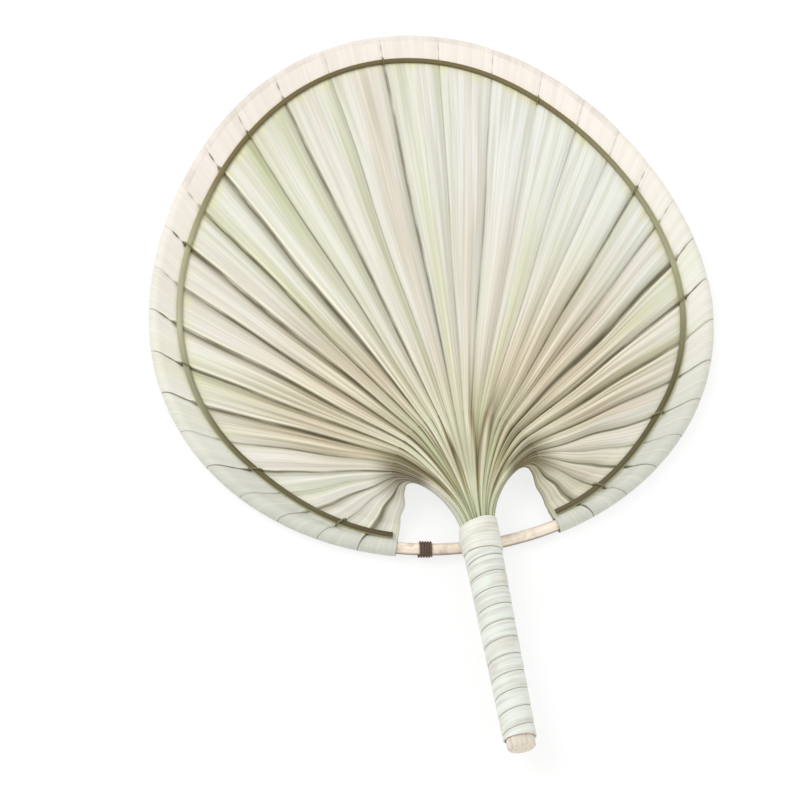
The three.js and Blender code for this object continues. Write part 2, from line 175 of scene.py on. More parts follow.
def pull_along(name: str, loops: Sequence[Sequence[Vector]], closed: bool = False) -> bpy.types.Object:
    """Pulls a circle of vertices along a path, extruding it from one loop of points to the next.

    Args:
        name: The piece's name.
        loops: The outline at each stop, all with as many points.
        closed: Whether the last loop joins the first.

    Returns:
        The closed body, with a UV map "run": metres along, and share of the way round.
    """
    sides = len(loops[0])
    select_only()
    bpy.ops.mesh.primitive_circle_add(vertices=sides, radius=1.0)
    piece = adopt(name)
    for vertex, point in zip(piece.data.vertices, loops[0], strict=True):
        vertex.co = point
    stops = [list(range(sides))]
    with editing(piece):
        for loop in loops[1:]:
            bpy.ops.mesh.extrude_region_move()
            shape = bmesh.from_edit_mesh(piece.data)
            shape.verts.index_update()
            shape.verts.ensure_lookup_table()
            pulled = []
            for index, point in zip(stops[-1], loop, strict=True):
                old = shape.verts[index]
                new = next(e.other_vert(old) for e in old.link_edges if e.other_vert(old).select)
                new.co = point
                pulled.append(new.index)
            stops.append(pulled)
        for ends in [stops[0] + stops[-1]] if closed else [stops[0], stops[-1]]:
            bpy.ops.mesh.select_all(action="DESELECT")
            shape = bmesh.from_edit_mesh(piece.data)
            shape.verts.ensure_lookup_table()
            for index in ends:
                shape.verts[index].select = True
            shape.select_flush(True)
            if closed:
                bpy.ops.mesh.bridge_edge_loops()
            else:
                bpy.ops.mesh.edge_face_add()
        bpy.ops.mesh.select_all(action="SELECT")
        bpy.ops.mesh.normals_make_consistent(inside=False)
    write_run(piece, loops, stops, closed)
    return piece


def write_run(
    piece: bpy.types.Object, loops: Sequence[Sequence[Vector]], stops: list[list[int]], closed: bool
) -> None:
    """Writes the UV map "run" on a pulled body: metres along its path, and share of the way round.

    Args:
        piece: The pulled body.
        loops: The outline at each stop.
        stops: The vertices of each stop.
        closed: Whether the last loop joins the first.
    """
    sides = len(loops[0])
    middles = [sum(loop, Vector()) / sides for loop in loops]
    along = [0.0]
    for before, after in zip(middles, middles[1:], strict=False):
        along.append(along[-1] + (after - before).length)
    end = along[-1] + (middles[0] - middles[-1]).length
    place = {index: (stop, side) for stop, ring in enumerate(stops) for side, index in enumerate(ring)}
    layer = piece.data.uv_layers.new(name="run")
    for face in piece.data.polygons:
        corners = [place[piece.data.loops[i].vertex_index] for i in face.loop_indices]
        wraps_round = {0, sides - 1} <= {side for _, side in corners} and len(corners) == 4
        wraps_along = closed and {0, len(stops) - 1} <= {stop for stop, _ in corners}
        for i, (stop, side) in zip(face.loop_indices, corners, strict=True):
            x = end if wraps_along and stop == 0 else along[stop]
            y = 1.0 if wraps_round and side == 0 else side / sides
            layer.uv[i].vector = (x, y)


def thicken(piece: bpy.types.Object, thickness: float) -> None:
    """Gives a sheet its wall, half of it to each side.

    Args:
        piece: The sheet.
        thickness: The wall's thickness.
    """
    wall = piece.modifiers.new("thickness", "SOLIDIFY")
    wall.thickness = thickness
    wall.offset = 0.0


def apply_all(piece: bpy.types.Object) -> None:
    """Applies the piece's modifiers from the top down.

    Args:
        piece: The piece.
    """
    select_only(piece)
    for name in [modifier.name for modifier in piece.modifiers]:
        bpy.ops.object.modifier_apply(modifier=name)


def settle(
    piece: bpy.types.Object,
    nodes: Sequence[str],
    slot: Slot,
    material: bpy.types.Material,
    sharp_degrees: float = 40.0,
) -> bpy.types.Object:
    """Finishes a piece and puts it on the solids.

    Args:
        piece: The piece, made with y = 0 at the collar and z = 0 at the hoop.
        nodes: The solids that it stands for.
        slot: Not used.
        material: Its finish.
        sharp_degrees: Edges with a larger angle stay sharp.

    Returns:
        The piece.
    """
    apply_all(piece)
    piece.data.transform(Matrix.Translation(ORIGIN))
    bpy.ops.object.shade_smooth_by_angle(angle=math.radians(sharp_degrees))
    piece.data.materials.clear()
    piece.data.materials.append(material)
    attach(piece, BODY)
    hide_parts(*nodes)
    log.info("%s: %d faces, stands for %s", piece.name, len(piece.data.polygons), ", ".join(nodes))
    return piece


# The fan's outline and folds

STALK_FOOT = 100 * MM  # from the collar's middle back to the butt
ORIGIN = Vector(
    (
        0.0,
        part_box("stalk")[0].y + STALK_FOOT,
        (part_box("rim_hoop")[0].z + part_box("rim_hoop")[1].z) / 2,
    )
)


def blend(start: float, end: float, share: float) -> float:
    """Goes from start to end by a share."""
    return start + (end - start) * share


def ease(value: float, low: float, high: float) -> float:
    """Rises smoothly from 0 at low to 1 at high."""
    share = min(max((value - low) / (high - low), 0.0), 1.0)
    return share * share * (3 - 2 * share)


def distances(line: np.ndarray) -> np.ndarray:
    """Distance of each point of a line from its first, along the line."""
    return np.concatenate([[0.0], np.cumsum(np.linalg.norm(np.diff(line, axis=0), axis=1))])


@dataclass(frozen=True)
class Fold:
    """One straight fold of the leaf, from the leaf base to the hoop."""

    place: float
    rim: Vector
    direction: Vector
    base: Vector
    slant: float
    bend: float
    ring: float

    def at(self, inset: float) -> Vector:
        """The point of the fold at a distance inside the hoop's middle line, measured square to the line.

        Args:
            inset: The distance.

        Returns:
            The point.
        """
        reach = self.bend * self.slant
        way = reach - math.sqrt(reach**2 - 2 * self.bend * inset + inset**2)
        return self.rim - self.direction * way


@dataclass(frozen=True)
class Outline:
    """The sizes that all pieces share, and the lines that follow from them."""

    clearance: float = 0.35 * MM
    half_width: float = 133 * MM
    half_length: float = 150 * MM
    foot_y: float = -4.411 * MM
    fullness_share: float = 0.03
    segments: int = 34
    leaf_thickness: float = 0.6 * MM
    layer_gap: float = 0.3 * MM
    fold_clearance: float = 0.5 * MM
    lobe_end: float = math.radians(165.5)
    lobe_narrowing_share: float = 0.2
    fan_centre_y: float = 25 * MM
    base_radius: float = 33.5 * MM
    shoulder_radius: float = 7 * MM
    shoulder_turn: float = math.radians(77)
    leaf_base_drop: float = 1.5 * MM
    hoop_radius: float = 2.6 * MM
    ring_inset: float = 13.3 * MM
    ring_side_inset: float = 10.8 * MM
    ring_foot_inset: float = 5.2 * MM
    ring_sides: tuple[float, float] = (math.radians(30), math.radians(85))
    ring_drift_start: float = math.radians(132)
    stalk_top_radius: float = 7.4 * MM

    @property
    def handle_z(self) -> float:
        """Height of the handle's axis over the hoop's middle line."""
        return self.hoop_radius + self.clearance + self.stalk_top_radius

    @property
    def leaf_base_z(self) -> float:
        """Height of the leaf where its base ends."""
        return self.handle_z - self.leaf_base_drop

    @property
    def layer_z(self) -> float:
        """Height of the front layer under the ring."""
        return (self.layer_gap + self.leaf_thickness) / 2

    @property
    def fold_radius(self) -> float:
        """Radius of the leaf's middle where it is folded round the hoop."""
        return self.hoop_radius + self.fold_clearance + self.leaf_thickness / 2

    @property
    def edge_outset(self) -> float:
        """From the hoop's middle line out to the leaf's edge."""
        return self.fold_radius + self.leaf_thickness / 2

    @property
    def centre_y(self) -> float:
        """Middle of the blade."""
        return self.foot_y + (1 - self.fullness_share) * (self.half_length - self.edge_outset)

    def hoop_point(self, angle: float) -> Vector:
        """A point of the hoop's middle line.

        Args:
            angle: Its angle from +Y towards +X.

        Returns:
            The point.
        """
        across = math.sin(angle) / (self.half_width - self.edge_outset)
        along = math.cos(angle) / (self.half_length - self.edge_outset)
        radius = (1 + self.fullness_share * math.cos(3 * angle)) / math.hypot(across, along)
        return Vector((radius * math.sin(angle), self.centre_y + radius * math.cos(angle), 0.0))

    def hoop_tangent(self, angle: float) -> Vector:
        """The hoop's direction, clockwise seen from the front."""
        step = math.radians(0.05)
        return (self.hoop_point(angle + step) - self.hoop_point(angle - step)).normalized()

    def hoop_normal(self, angle: float) -> Vector:
        """Outwards, square to the hoop, in its plane."""
        tangent = self.hoop_tangent(angle)
        return Vector((-tangent.y, tangent.x, 0.0))

    def hoop_bend(self, angle: float) -> float:
        """Radius of the hoop's bend.

        Args:
            angle: Where on the hoop.

        Returns:
            The radius.
        """
        step = math.radians(1)
        way = (self.hoop_point(angle + step) - self.hoop_point(angle - step)).length
        return way / self.hoop_tangent(angle + step).angle(self.hoop_tangent(angle - step))

    def ring_inset_at(self, angle: float) -> float:
        """From the hoop's middle line in to the ring's."""
        side = blend(self.ring_inset, self.ring_side_inset, ease(abs(angle), *self.ring_sides))
        return blend(side, self.ring_foot_inset, ease(abs(angle), self.ring_drift_start, self.lobe_end))

    def place_at(self, boundary: float | np.ndarray) -> float | np.ndarray:
        """The place, from -1 to 1, that lies so many segments from the left lobe's edge."""
        return 2 * boundary / self.segments - 1

    def hoop_loop(self, angle: float, radius: float, sides: int, start: float = 0.0) -> list[Vector]:
        """A circle of points round the hoop's middle line."""
        return rounded_loop(self.hoop_point(angle), self.hoop_normal(angle), UP, radius, sides, start)

    def fold(self, place: float) -> Fold:
        """One fold.

        Args:
            place: From -1, the left lobe's edge, to 1, the right lobe's.

        Returns:
            The fold.
        """
        swing = (1 + self.lobe_narrowing_share) * place - self.lobe_narrowing_share * place**3
        angle = self.lobe_end * swing
        rim = self.hoop_point(angle)
        pivot = Vector((0.0, self.fan_centre_y, 0.0))
        radius = self.base_radius
        turn = math.atan2(rim.x, rim.y - self.fan_centre_y)
        if abs(turn) > self.shoulder_turn:
            side = math.copysign(self.shoulder_turn, turn)
            reach = self.base_radius - self.shoulder_radius
            pivot += Vector((reach * math.sin(side), reach * math.cos(side), 0.0))
            radius = self.shoulder_radius
        direction = (rim - pivot).normalized()
        slant = direction.dot(self.hoop_normal(angle))
        rough = Fold(place, rim, direction, pivot + direction * radius, slant, self.hoop_bend(angle), 0.0)
        near = rough.at(self.ring_inset_at(angle))
        ring = self.ring_inset_at(math.atan2(near.x, near.y - self.centre_y))
        return Fold(place, rim, direction, rough.base, slant, rough.bend, ring)


# Finishes


def linear(hex_colour: str) -> Colour:
    """Turns an sRGB hex value into a linear colour.

    Args:
        hex_colour: Six digits, as in "e4e2cf".

    Returns:
        Red, green, blue and an alpha of 1.
    """
    channels = []
    for start in (0, 2, 4):
        value = int(hex_colour[start : start + 2], 16) / 255
        channels.append(value / 12.92 if value <= 0.04045 else ((value + 0.055) / 1.055) ** 2.4)
    return (channels[0], channels[1], channels[2], 1.0)


def add_node(
    tree: bpy.types.NodeTree,
    kind: str,
    settings: dict[Any, Any] | None = None,
    links: dict[Any, Link] | None = None,
    stops: Stops = (),
) -> bpy.types.Node:
    """Adds a node with its settings and links.

    Args:
        tree: The material's tree.
        kind: The node's type.
        settings: Properties of the node, or values of its inputs by name or number.
        links: Sockets that feed its inputs, by name or number.
        stops: Place and sRGB hex value of each stop of a colour ramp, from left to right.

    Returns:
        The node.
    """
    node = tree.nodes.new(kind)
    for key, value in (settings or {}).items():
        if isinstance(key, str) and hasattr(node, key):
            setattr(node, key, value)
        else:
            node.inputs[key].default_value = value
    for key, socket in (links or {}).items():
        tree.links.new(socket, node.inputs[key])
    if stops:
        elements = node.color_ramp.elements
        while len(elements) < len(stops):
            elements.new(0.5)
        for element, (position, colour) in zip(elements, stops, strict=True):
            element.position = position
            element.color = linear(colour)
    return node


def empty_material(name: str) -> tuple[bpy.types.Material, bpy.types.NodeTree]:
    """Makes a material with no nodes.

    Args:
        name: The material's name.

    Returns:
        The material and its tree.
    """
    material = bpy.data.materials.new(name)
    material.use_nodes = True
    material.node_tree.nodes.clear()
    return material, material.node_tree


def direct_rays(tree: bpy.types.NodeTree) -> Link:
    """Tells the rays that show the surface itself: seen, mirrored or seen through glass.

    Args:
        tree: The tree of a material or of the surround.

    Returns:
        1 for those rays, 0 for the light that comes off other pieces.
    """
    rays = add_node(tree, "ShaderNodeLightPath").outputs
    shown = rays["Is Camera Ray"]
    for name in ("Is Glossy Ray", "Is Transmission Ray"):
        links = {0: shown, 1: rays[name]}
        shown = add_node(tree, "ShaderNodeMath", {"operation": "MAXIMUM"}, links).outputs[0]
    return shown


class Map(Enum):
    """What a colour's mask is read from."""

    ACROSS = "metres across the leaf, negative on the left"
    PLACE = "distance across, without its sign"
    ALONG = "metres along the fibres"
    WARMTH = "metres along the fibres, less on the flanks"
    EDGE = "millimetres to the nearest fold line"
    LINE = "how dark that line is"
    REACH = "millimetres to that line over its darkness"
    RIDGE = "millimetres to the pleat's ridge"
    TINT = "the pleat's own tint"
    BEYOND = "millimetres beyond the ring"
    SIDE = "1 at the pleat's left edge, -1 at its right"
    CLOUD = "broad changes of hue"
    STREAK = "streaks along the fibres"
    VEIN = "veins or single fibres"
    STRAND = "strands at the leaf base"
    PATCH = "patches"


@dataclass(frozen=True)
class Grain:
    """Noise drawn out along the fibres, by its spacing and shift on the UV map's two numbers."""

    source: Map
    spacing: tuple[float, float]
    detail: float
    shift: tuple[float, float] = (0.0, 0.0)
    roughness: float = 0.55


@dataclass(frozen=True)
class Fade:
    """A mask that goes from low at start to high at end."""

    source: Map
    start: float
    end: float
    low: float = 0.0
    high: float = 1.0
    kind: str = "SMOOTHSTEP"


@dataclass(frozen=True)
class Layer:
    """A colour, or a grain with its own colours, that shows by the product of its fades."""

    colour: str | tuple[Map, Stops]
    fades: tuple[Fade, ...]
    mode: str = "MIX"


@dataclass
class Paint:
    """Paints plant matter in a material's tree, layer by layer."""

    tree: bpy.types.NodeTree
    colour: Link | None = None
    values: dict[Map, Link] = field(default_factory=dict)
    shine: float = 0.4  # a little less than the shader's own, for dry wax

    def read_map(self, layer: str) -> tuple[Link, Link, Link]:
        """Reads a UV map.

        Args:
            layer: The map's name.

        Returns:
            The map, and its first and second number.
        """
        whole = add_node(self.tree, "ShaderNodeUVMap", {"uv_map": layer}).outputs["UV"]
        parts = add_node(self.tree, "ShaderNodeSeparateXYZ", links={"Vector": whole})
        return whole, parts.outputs["X"], parts.outputs["Y"]

    def draw(self, grain: Grain, place: Link) -> None:
        """Draws a grain and keeps its value.

        Args:
            grain: The grain.
            place: The UV map that it is drawn on.
        """
        scale = (1 / grain.spacing[0], 1 / grain.spacing[1], 1.0)
        stretch = {"Scale": scale, "Location": (*grain.shift, 0.0)}
        place = add_node(self.tree, "ShaderNodeMapping", stretch, {"Vector": place}).outputs[0]
        kind = {"Scale": 1.0, "Detail": grain.detail, "Roughness": grain.roughness}
        noise = add_node(self.tree, "ShaderNodeTexNoise", kind, {"Vector": place})
        self.values[grain.source] = noise.outputs[0]

    def share(self, fades: Sequence[Fade]) -> Link:
        """Multiplies masks.

        Args:
            fades: The masks.

        Returns:
            Their product.
        """
        masks = []
        for fade in fades:
            span = {"From Min": fade.start, "From Max": fade.end, "To Min": fade.low, "To Max": fade.high}
            span["interpolation_type"] = fade.kind
            value = {"Value": self.values[fade.source]}
            masks.append(add_node(self.tree, "ShaderNodeMapRange", span, value).outputs[0])
        share = masks[0]
        for mask in masks[1:]:
            links = {0: share, 1: mask}
            share = add_node(self.tree, "ShaderNodeMath", {"operation": "MULTIPLY"}, links).outputs[0]
        return share

    def lay(self, above: Link | str | tuple[Map, Stops], share: Link | float, mode: str = "MIX") -> None:
        """Lays a colour over the one so far.

        Args:
            above: The new colour, its sRGB hex value, or a value with the colours that it turns to.
            share: How much of it shows.
            mode: How the two are blended.
        """
        settings: dict[Any, Any] = {"data_type": "RGBA", "blend_type": mode}
        links = {6: self.colour}
        if isinstance(above, str):
            settings[7] = linear(above)
        elif isinstance(above, tuple):
            value = {"Fac": self.values[above[0]]}
            links[7] = add_node(self.tree, "ShaderNodeValToRGB", links=value, stops=above[1]).outputs["Color"]
        else:
            links[7] = above
        if isinstance(share, float):
            settings["Factor"] = share
        else:
            links["Factor"] = share
        self.colour = add_node(self.tree, "ShaderNodeMix", settings, links).outputs[2]

    def dress(self, gloss: Fade, height: Link, strength: float, depth: float) -> None:
        """Ends the material in a waxy shader with fine relief.

        Args:
            gloss: Its roughness.
            height: The relief's height.
            strength: How much of the relief shows.
            depth: The relief's depth.
        """
        bump = {"Strength": strength, "Distance": depth}
        relief = add_node(self.tree, "ShaderNodeBump", bump, {"Height": height}).outputs[0]
        links = {"Base Color": self.colour, "Roughness": self.share([gloss]), "Normal": relief}
        shader = add_node(self.tree, "ShaderNodeBsdfPrincipled", {"Specular IOR Level": self.shine}, links)
        add_node(self.tree, "ShaderNodeOutputMaterial", links={"Surface": shader.outputs["BSDF"]})


# Colours that several layers of the leaf share
COOL = "e3e5e0"
# painted highlight: the pale cream of lit ridges and lit fold edges
PAINTED_HIGHLIGHT = "f3eed2"
VEIN = "b7b59f"
# The tan and the strands fade out on the two lobes
LOBES = (Fade(Map.ACROSS, -0.232, -0.275, 1.0, 0.15), Fade(Map.ACROSS, 0.232, 0.275, 1.0, 0.7))
# Patches break up the fold lines and their lit edges
BROKEN = Fade(Map.PATCH, 0.34, 0.60, 0.25)
# Veins show less on the rim beyond the ring
RIM_FAINTER = Fade(Map.BEYOND, 0.0, 3.0, 1.0, 0.4)


@dataclass(frozen=True)
class DriedPalmLeaf:
    """Palm leaf, sun dried: pale cream green with parallel veins and a satin wax, olive tan near the stalk.

    It reads four maps of the leaf: "fibre" runs across and along the fibres in metres, "crease" holds the
    distance to the nearest fold line in millimetres and how dark that line is, "tone" the distance to the
    ridge and the segment's own tint, "zone" the distance beyond the ring and the side of the fold line.
    """

    name: str = "dried_palm_leaf"
    roughness: float = 0.52
    gloss_spread: tuple[float, float] = (-0.08, 0.12)
    relief: float = 0.22 * MM
    relief_share: float = 0.55
    streak_relief: float = 1.4  # height of the streaks over that of the veins
    tint_span: float = 0.2
    flank_reach: float = 50 * MM  # on the flanks the tan reaches this much further out
    flanks: tuple[Fade, ...] = (Fade(Map.PLACE, 0.050, 0.130), Fade(Map.PLACE, 0.275, 0.232))
    grains: tuple[Grain, ...] = (
        Grain(Map.CLOUD, (15 * MM, 380 * MM), 2.0, (3.1, 3.1)),
        Grain(Map.STREAK, (3.4 * MM, 150 * MM), 3.0, (7.7, 7.7)),
        # Real veins lie 0.4 mm apart, too fine to show
        Grain(Map.VEIN, (1.2 * MM, 100 * MM), 2.0, (1.3, 1.3)),
        Grain(Map.STRAND, (62 * MM, 140 * MM), 1.0, (5.2, 5.2)),
        Grain(Map.PATCH, (9 * MM, 40 * MM), 3.0, (11.9, 11.9)),
    )
    cloud_stops: Stops = (
        (0.28, "d6cebf"),
        (0.40, "ded9cd"),
        (0.50, "deddd1"),
        (0.60, "d8d8c4"),
        (0.74, "cacdaa"),
    )
    warm_stops: Stops = ((0.36, "a79f80"), (0.47, "cbb9a1"), (0.56, "d6ccb3"), (0.66, "efe6d1"))
    strands_and_shaded_gaps: Stops = (
        (0.34, "bcc29c"),
        (0.43, "a3a076"),
        # painted shade: the dark narrow gap between two strands
        (0.475, "5e5836"),
        (0.515, "a69e72"),
        (0.57, "e2dfc6"),
        (0.67, "cdd2b4"),
    )

    def layers(self) -> tuple[Layer, ...]:
        """The colours over the leaf's greens and creams, from the lowest up.

        Returns:
            The layers, each fade in its map's own unit.
        """
        return (
            # Cooler right of the middle and on the left lobe
            Layer(
                COOL,
                (
                    Fade(Map.ACROSS, -0.01, 0.07),
                    Fade(Map.ALONG, 0.11, 0.19),
                    Fade(Map.STREAK, 0.36, 0.56, 0.3, 0.75),
                ),
            ),
            Layer(COOL, (Fade(Map.ACROSS, -0.15, -0.27, high=0.35),)),
            # Tan, then olive strands with painted shade in the narrow gaps between them, towards the stalk
            Layer((Map.STREAK, self.warm_stops), (Fade(Map.WARMTH, 0.094, 0.020, high=0.9), *LOBES)),
            Layer((Map.STRAND, self.strands_and_shaded_gaps), (Fade(Map.ALONG, 0.074, 0.012, high=0.95), *LOBES)),
            # Darker at the top of the neck, greener at the collar
            Layer(
                "f0ebe8",
                (Fade(Map.PLACE, 0.16, 0.06), Fade(Map.ALONG, -0.006, 0.004), Fade(Map.ALONG, 0.03, 0.014)),
                "MULTIPLY",
            ),
            Layer("c6d5b1", (Fade(Map.ALONG, -0.002, -0.014, high=0.3),)),
            # The rim beyond the ring: cream, pinkish at the top, grey green at the lobes
            Layer("e3e1d4", (Fade(Map.BEYOND, 0.5, 5.0, high=0.6),)),
            Layer("f0e6dd", (Fade(Map.BEYOND, 0.5, 5.0, high=0.85), Fade(Map.PLACE, 0.20, 0.08))),
            Layer("c4c6bb", (Fade(Map.BEYOND, 0.5, 5.0, high=0.8), Fade(Map.PLACE, 0.20, 0.30))),
            # Fresh green left under the ring and just inside it
            Layer(
                "dfdcae",
                (
                    Fade(Map.BEYOND, -9.0, -2.0),
                    Fade(Map.BEYOND, 3.4, 1.2),
                    Fade(Map.PATCH, 0.40, 0.62, 0.1, 0.75),
                    Fade(Map.PLACE, 0.24, 0.14, 0.3),
                ),
            ),
            # Streaks and veins, and a painted highlight along the pleats' ridges, partly their paler midrib
            Layer(VEIN, (Fade(Map.STREAK, 0.56, 0.40, high=0.22), RIM_FAINTER), "MULTIPLY"),
            Layer(VEIN, (Fade(Map.VEIN, 0.55, 0.40, high=0.15), RIM_FAINTER), "MULTIPLY"),
            Layer(PAINTED_HIGHLIGHT, (Fade(Map.RIDGE, 1.0, 0.2, high=0.16),)),
            # Soft shade on one side of a fold line, its lit edge on the other, and the line itself
            Layer(
                "a39f83",
                (
                    Fade(Map.EDGE, 6.0, 0.3, high=0.75),
                    Fade(Map.SIDE, 0.4, -0.6, 0.25),
                    Fade(Map.LINE, 0.0, 2.0, high=2.0, kind="LINEAR"),
                    Fade(Map.BEYOND, -2.0, 2.0, 1.0, 0.35),
                ),
                "MULTIPLY",
            ),
            Layer(
                PAINTED_HIGHLIGHT,
                (
                    Fade(Map.EDGE, 0.9, 1.6),
                    Fade(Map.EDGE, 3.4, 2.0),
                    Fade(Map.SIDE, -0.2, 0.6),
                    BROKEN,
                    Fade(Map.LINE, 0.45, 0.95, high=0.9),
                ),
            ),
            # The dark fold line itself: painted shade in the fold's valley, partly brown fibres along the
            # split
            Layer("575139", (Fade(Map.REACH, 2.5, 0.5), Fade(Map.LINE, 0.0, 0.8, 0.15, 0.95), BROKEN)),
            # Painted shade: the dark hollows where the pleats turn down round the shoulders
            Layer(
                "4f3c02",
                (
                    Fade(Map.PLACE, 0.20, 0.26),
                    Fade(Map.PLACE, 0.380, 0.345, 0.55),
                    Fade(Map.ALONG, 0.004, 0.019),
                    Fade(Map.ALONG, 0.046, 0.031, high=0.95),
                    Fade(Map.STREAK, 0.60, 0.42, 0.62),
                ),
            ),
        )

    def build(self) -> bpy.types.Material:
        """Makes the material.

        Returns:
            The material.
        """
        material, tree = empty_material(self.name)
        paint = Paint(tree)
        values = paint.values
        fibre, crease, tone, zone = (paint.read_map(layer) for layer in LEAF_MAPS)
        _, values[Map.ACROSS], values[Map.ALONG] = fibre
        _, values[Map.EDGE], values[Map.LINE] = crease
        _, values[Map.RIDGE], values[Map.TINT] = tone
        _, values[Map.BEYOND], values[Map.SIDE] = zone
        for grain in self.grains:
            paint.draw(grain, fibre[0])
        links = {0: values[Map.ACROSS]}
        values[Map.PLACE] = add_node(tree, "ShaderNodeMath", {"operation": "ABSOLUTE"}, links).outputs[0]
        links = {0: values[Map.EDGE], 1: values[Map.LINE]}
        values[Map.REACH] = add_node(tree, "ShaderNodeMath", {"operation": "DIVIDE"}, links).outputs[0]
        nearer = {"operation": "MULTIPLY_ADD", 1: -self.flank_reach}
        links = {0: paint.share(self.flanks), 2: values[Map.ALONG]}
        values[Map.WARMTH] = add_node(tree, "ShaderNodeMath", nearer, links).outputs[0]

        own = {"operation": "MULTIPLY_ADD", 1: self.tint_span}
        centred = {"operation": "SUBTRACT", 1: self.tint_span / 2}
        hue = add_node(tree, "ShaderNodeMath", own, {0: values[Map.TINT], 2: values[Map.CLOUD]}).outputs[0]
        hue = add_node(tree, "ShaderNodeMath", centred, {0: hue}).outputs[0]
        clouds = add_node(tree, "ShaderNodeValToRGB", links={"Fac": hue}, stops=self.cloud_stops)
        paint.colour = clouds.outputs["Color"]
        for layer in self.layers():
            paint.lay(layer.colour, paint.share(layer.fades), layer.mode)
        higher = {"operation": "MULTIPLY_ADD", 1: self.streak_relief}
        links = {0: values[Map.STREAK], 2: values[Map.VEIN]}
        height = add_node(tree, "ShaderNodeMath", higher, links).outputs[0]
        gloss = Fade(Map.VEIN, 0.2, 0.8, *(self.roughness + spread for spread in self.gloss_spread))
        paint.dress(gloss, height, self.relief_share, self.relief)
        return material


@dataclass(frozen=True)
class RunningFibre:
    """Split, peeled or cut plant matter whose fibres run along a pulled or rolled piece, on its map "run"."""

    name: str
    light: str
    dark: str
    mark: str
    mark_share: float = 0.3
    roughness: float = 0.5
    gloss_spread: tuple[float, float] = (-0.08, 0.14)
    fibre_width: float = 0.09  # widths are shares of the way round
    fibre_length: float = 30 * MM
    fibre_stops: tuple[float, float] = (0.36, 0.58)
    mark_width: float = 0.625
    mark_length: float = 18 * MM
    mark_stops: tuple[float, float] = (0.52, 0.70)
    relief: float = 0.08 * MM
    relief_share: float = 0.6
    edge: str = ""  # painted shade or highlight: a colour of its own away from the middle of the side that is seen
    middle: float = 0.5
    painted_light_reach: tuple[float, float] = (0.3, 0.4)
    painted_light_share: float = 0.85
    tones: Stops = ()  # how the colour changes along the whole piece
    tones_length: float = 1.0
    tones_share: float = 0.75
    sawn: str = ""  # colour of the fibre bundles on the sawn end
    pith: str = "e3d8c6"
    sawn_depth: tuple[float, float] = (0.5 * MM, 0.9 * MM)
    bundle_stops: tuple[float, float] = (0.10, 0.38)
    bundle_spacing: float = 0.9 * MM  # real bundles lie 0.5 mm apart, too fine to show

    def build(self) -> bpy.types.Material:
        """Makes the material.

        Returns:
            The material.
        """
        material, tree = empty_material(self.name)
        paint = Paint(tree)
        values = paint.values
        run, along, round_share = paint.read_map("run")
        values[Map.ALONG] = along
        paint.draw(Grain(Map.VEIN, (self.fibre_length, self.fibre_width), 3.0, roughness=0.6), run)
        paint.draw(Grain(Map.PATCH, (self.mark_length, self.mark_width), 3.0, (4.2, 1.7), 0.6), run)
        fibre = values[Map.VEIN]
        stops = tuple(zip(self.fibre_stops, (self.dark, self.light), strict=True))
        paint.colour = add_node(tree, "ShaderNodeValToRGB", links={"Fac": fibre}, stops=stops).outputs[0]
        marked = Fade(Map.PATCH, *self.mark_stops, high=self.mark_share, kind="LINEAR")
        paint.lay(self.mark, paint.share([marked]))
        if self.tones:
            whole = {"operation": "DIVIDE", 1: self.tones_length}
            links = {"Fac": add_node(tree, "ShaderNodeMath", whole, {0: along}).outputs[0]}
            tones = add_node(tree, "ShaderNodeValToRGB", links=links, stops=self.tones)
            paint.lay(tones.outputs["Color"], self.tones_share)
        # Painted shade or highlight: the edge colour towards the sides, away from the middle of the seen side
        if self.edge:
            aside = {"operation": "SUBTRACT", 1: self.middle}
            links = {0: add_node(tree, "ShaderNodeMath", aside, {0: round_share}).outputs[0]}
            values[Map.PLACE] = add_node(tree, "ShaderNodeMath", {"operation": "ABSOLUTE"}, links).outputs[0]
            painted_light_fade = Fade(Map.PLACE, *self.painted_light_reach, high=self.painted_light_share, kind="LINEAR")
            paint.lay(self.edge, paint.share([painted_light_fade]))
        if self.sawn:
            place = add_node(tree, "ShaderNodeTexCoord").outputs["Object"]
            spacing = {"Scale": 1 / self.bundle_spacing}
            spots = add_node(tree, "ShaderNodeTexVoronoi", spacing, {"Vector": place})
            links = {"Fac": spots.outputs["Distance"]}
            stops = tuple(zip(self.bundle_stops, (self.sawn, self.pith), strict=True))
            bundles = add_node(tree, "ShaderNodeValToRGB", links=links, stops=stops).outputs["Color"]
            paint.lay(bundles, paint.share([Fade(Map.ALONG, *self.sawn_depth, 1.0, 0.0, "LINEAR")]))
        low, high = (self.roughness + spread for spread in self.gloss_spread)
        paint.dress(Fade(Map.VEIN, 0.0, 1.0, low, high, "LINEAR"), fibre, self.relief_share, self.relief)
        return material


# Cane with its skin peeled off: smooth, pinkish cream, brown where a leaf scar was, with painted shade on its
# sides and underside
PEELED_CANE = RunningFibre(
    "peeled_cane",
    light="f4ead8",
    dark="e6d2bd",
    mark="8a6f5a",
    mark_share=0.5,
    roughness=0.42,
    mark_length=9 * MM,
    # painted shade: dark brown on the hoop's sides and underside, away from its top
    edge="6a5140",
    middle=0.45,
    painted_light_reach=(0.14, 0.23),
)
# Cane split to a thin splint, its green skin dried to olive brown
SPLIT_CANE = RunningFibre(
    "split_cane",
    light="716843",
    dark="403820",
    mark="a9a780",
    mark_share=0.8,
    mark_length=70 * MM,
    # painted highlight: pale yellow on the splint's outer edge, where it catches the light
    edge="cfcb96",
    middle=0.62,
    painted_light_reach=(0.33, 0.45),
    tones=(
        (0.0, "41351f"),
        (0.12, "55502c"),
        (0.22, "b3b598"),
        (0.30, "a5a07a"),
        (0.36, "716136"),
        (0.50, "65572e"),
        (0.65, "756840"),
        (0.80, "a9a985"),
        (0.89, "55502c"),
        (1.0, "41351f"),
    ),
    tones_length=715 * MM,
)
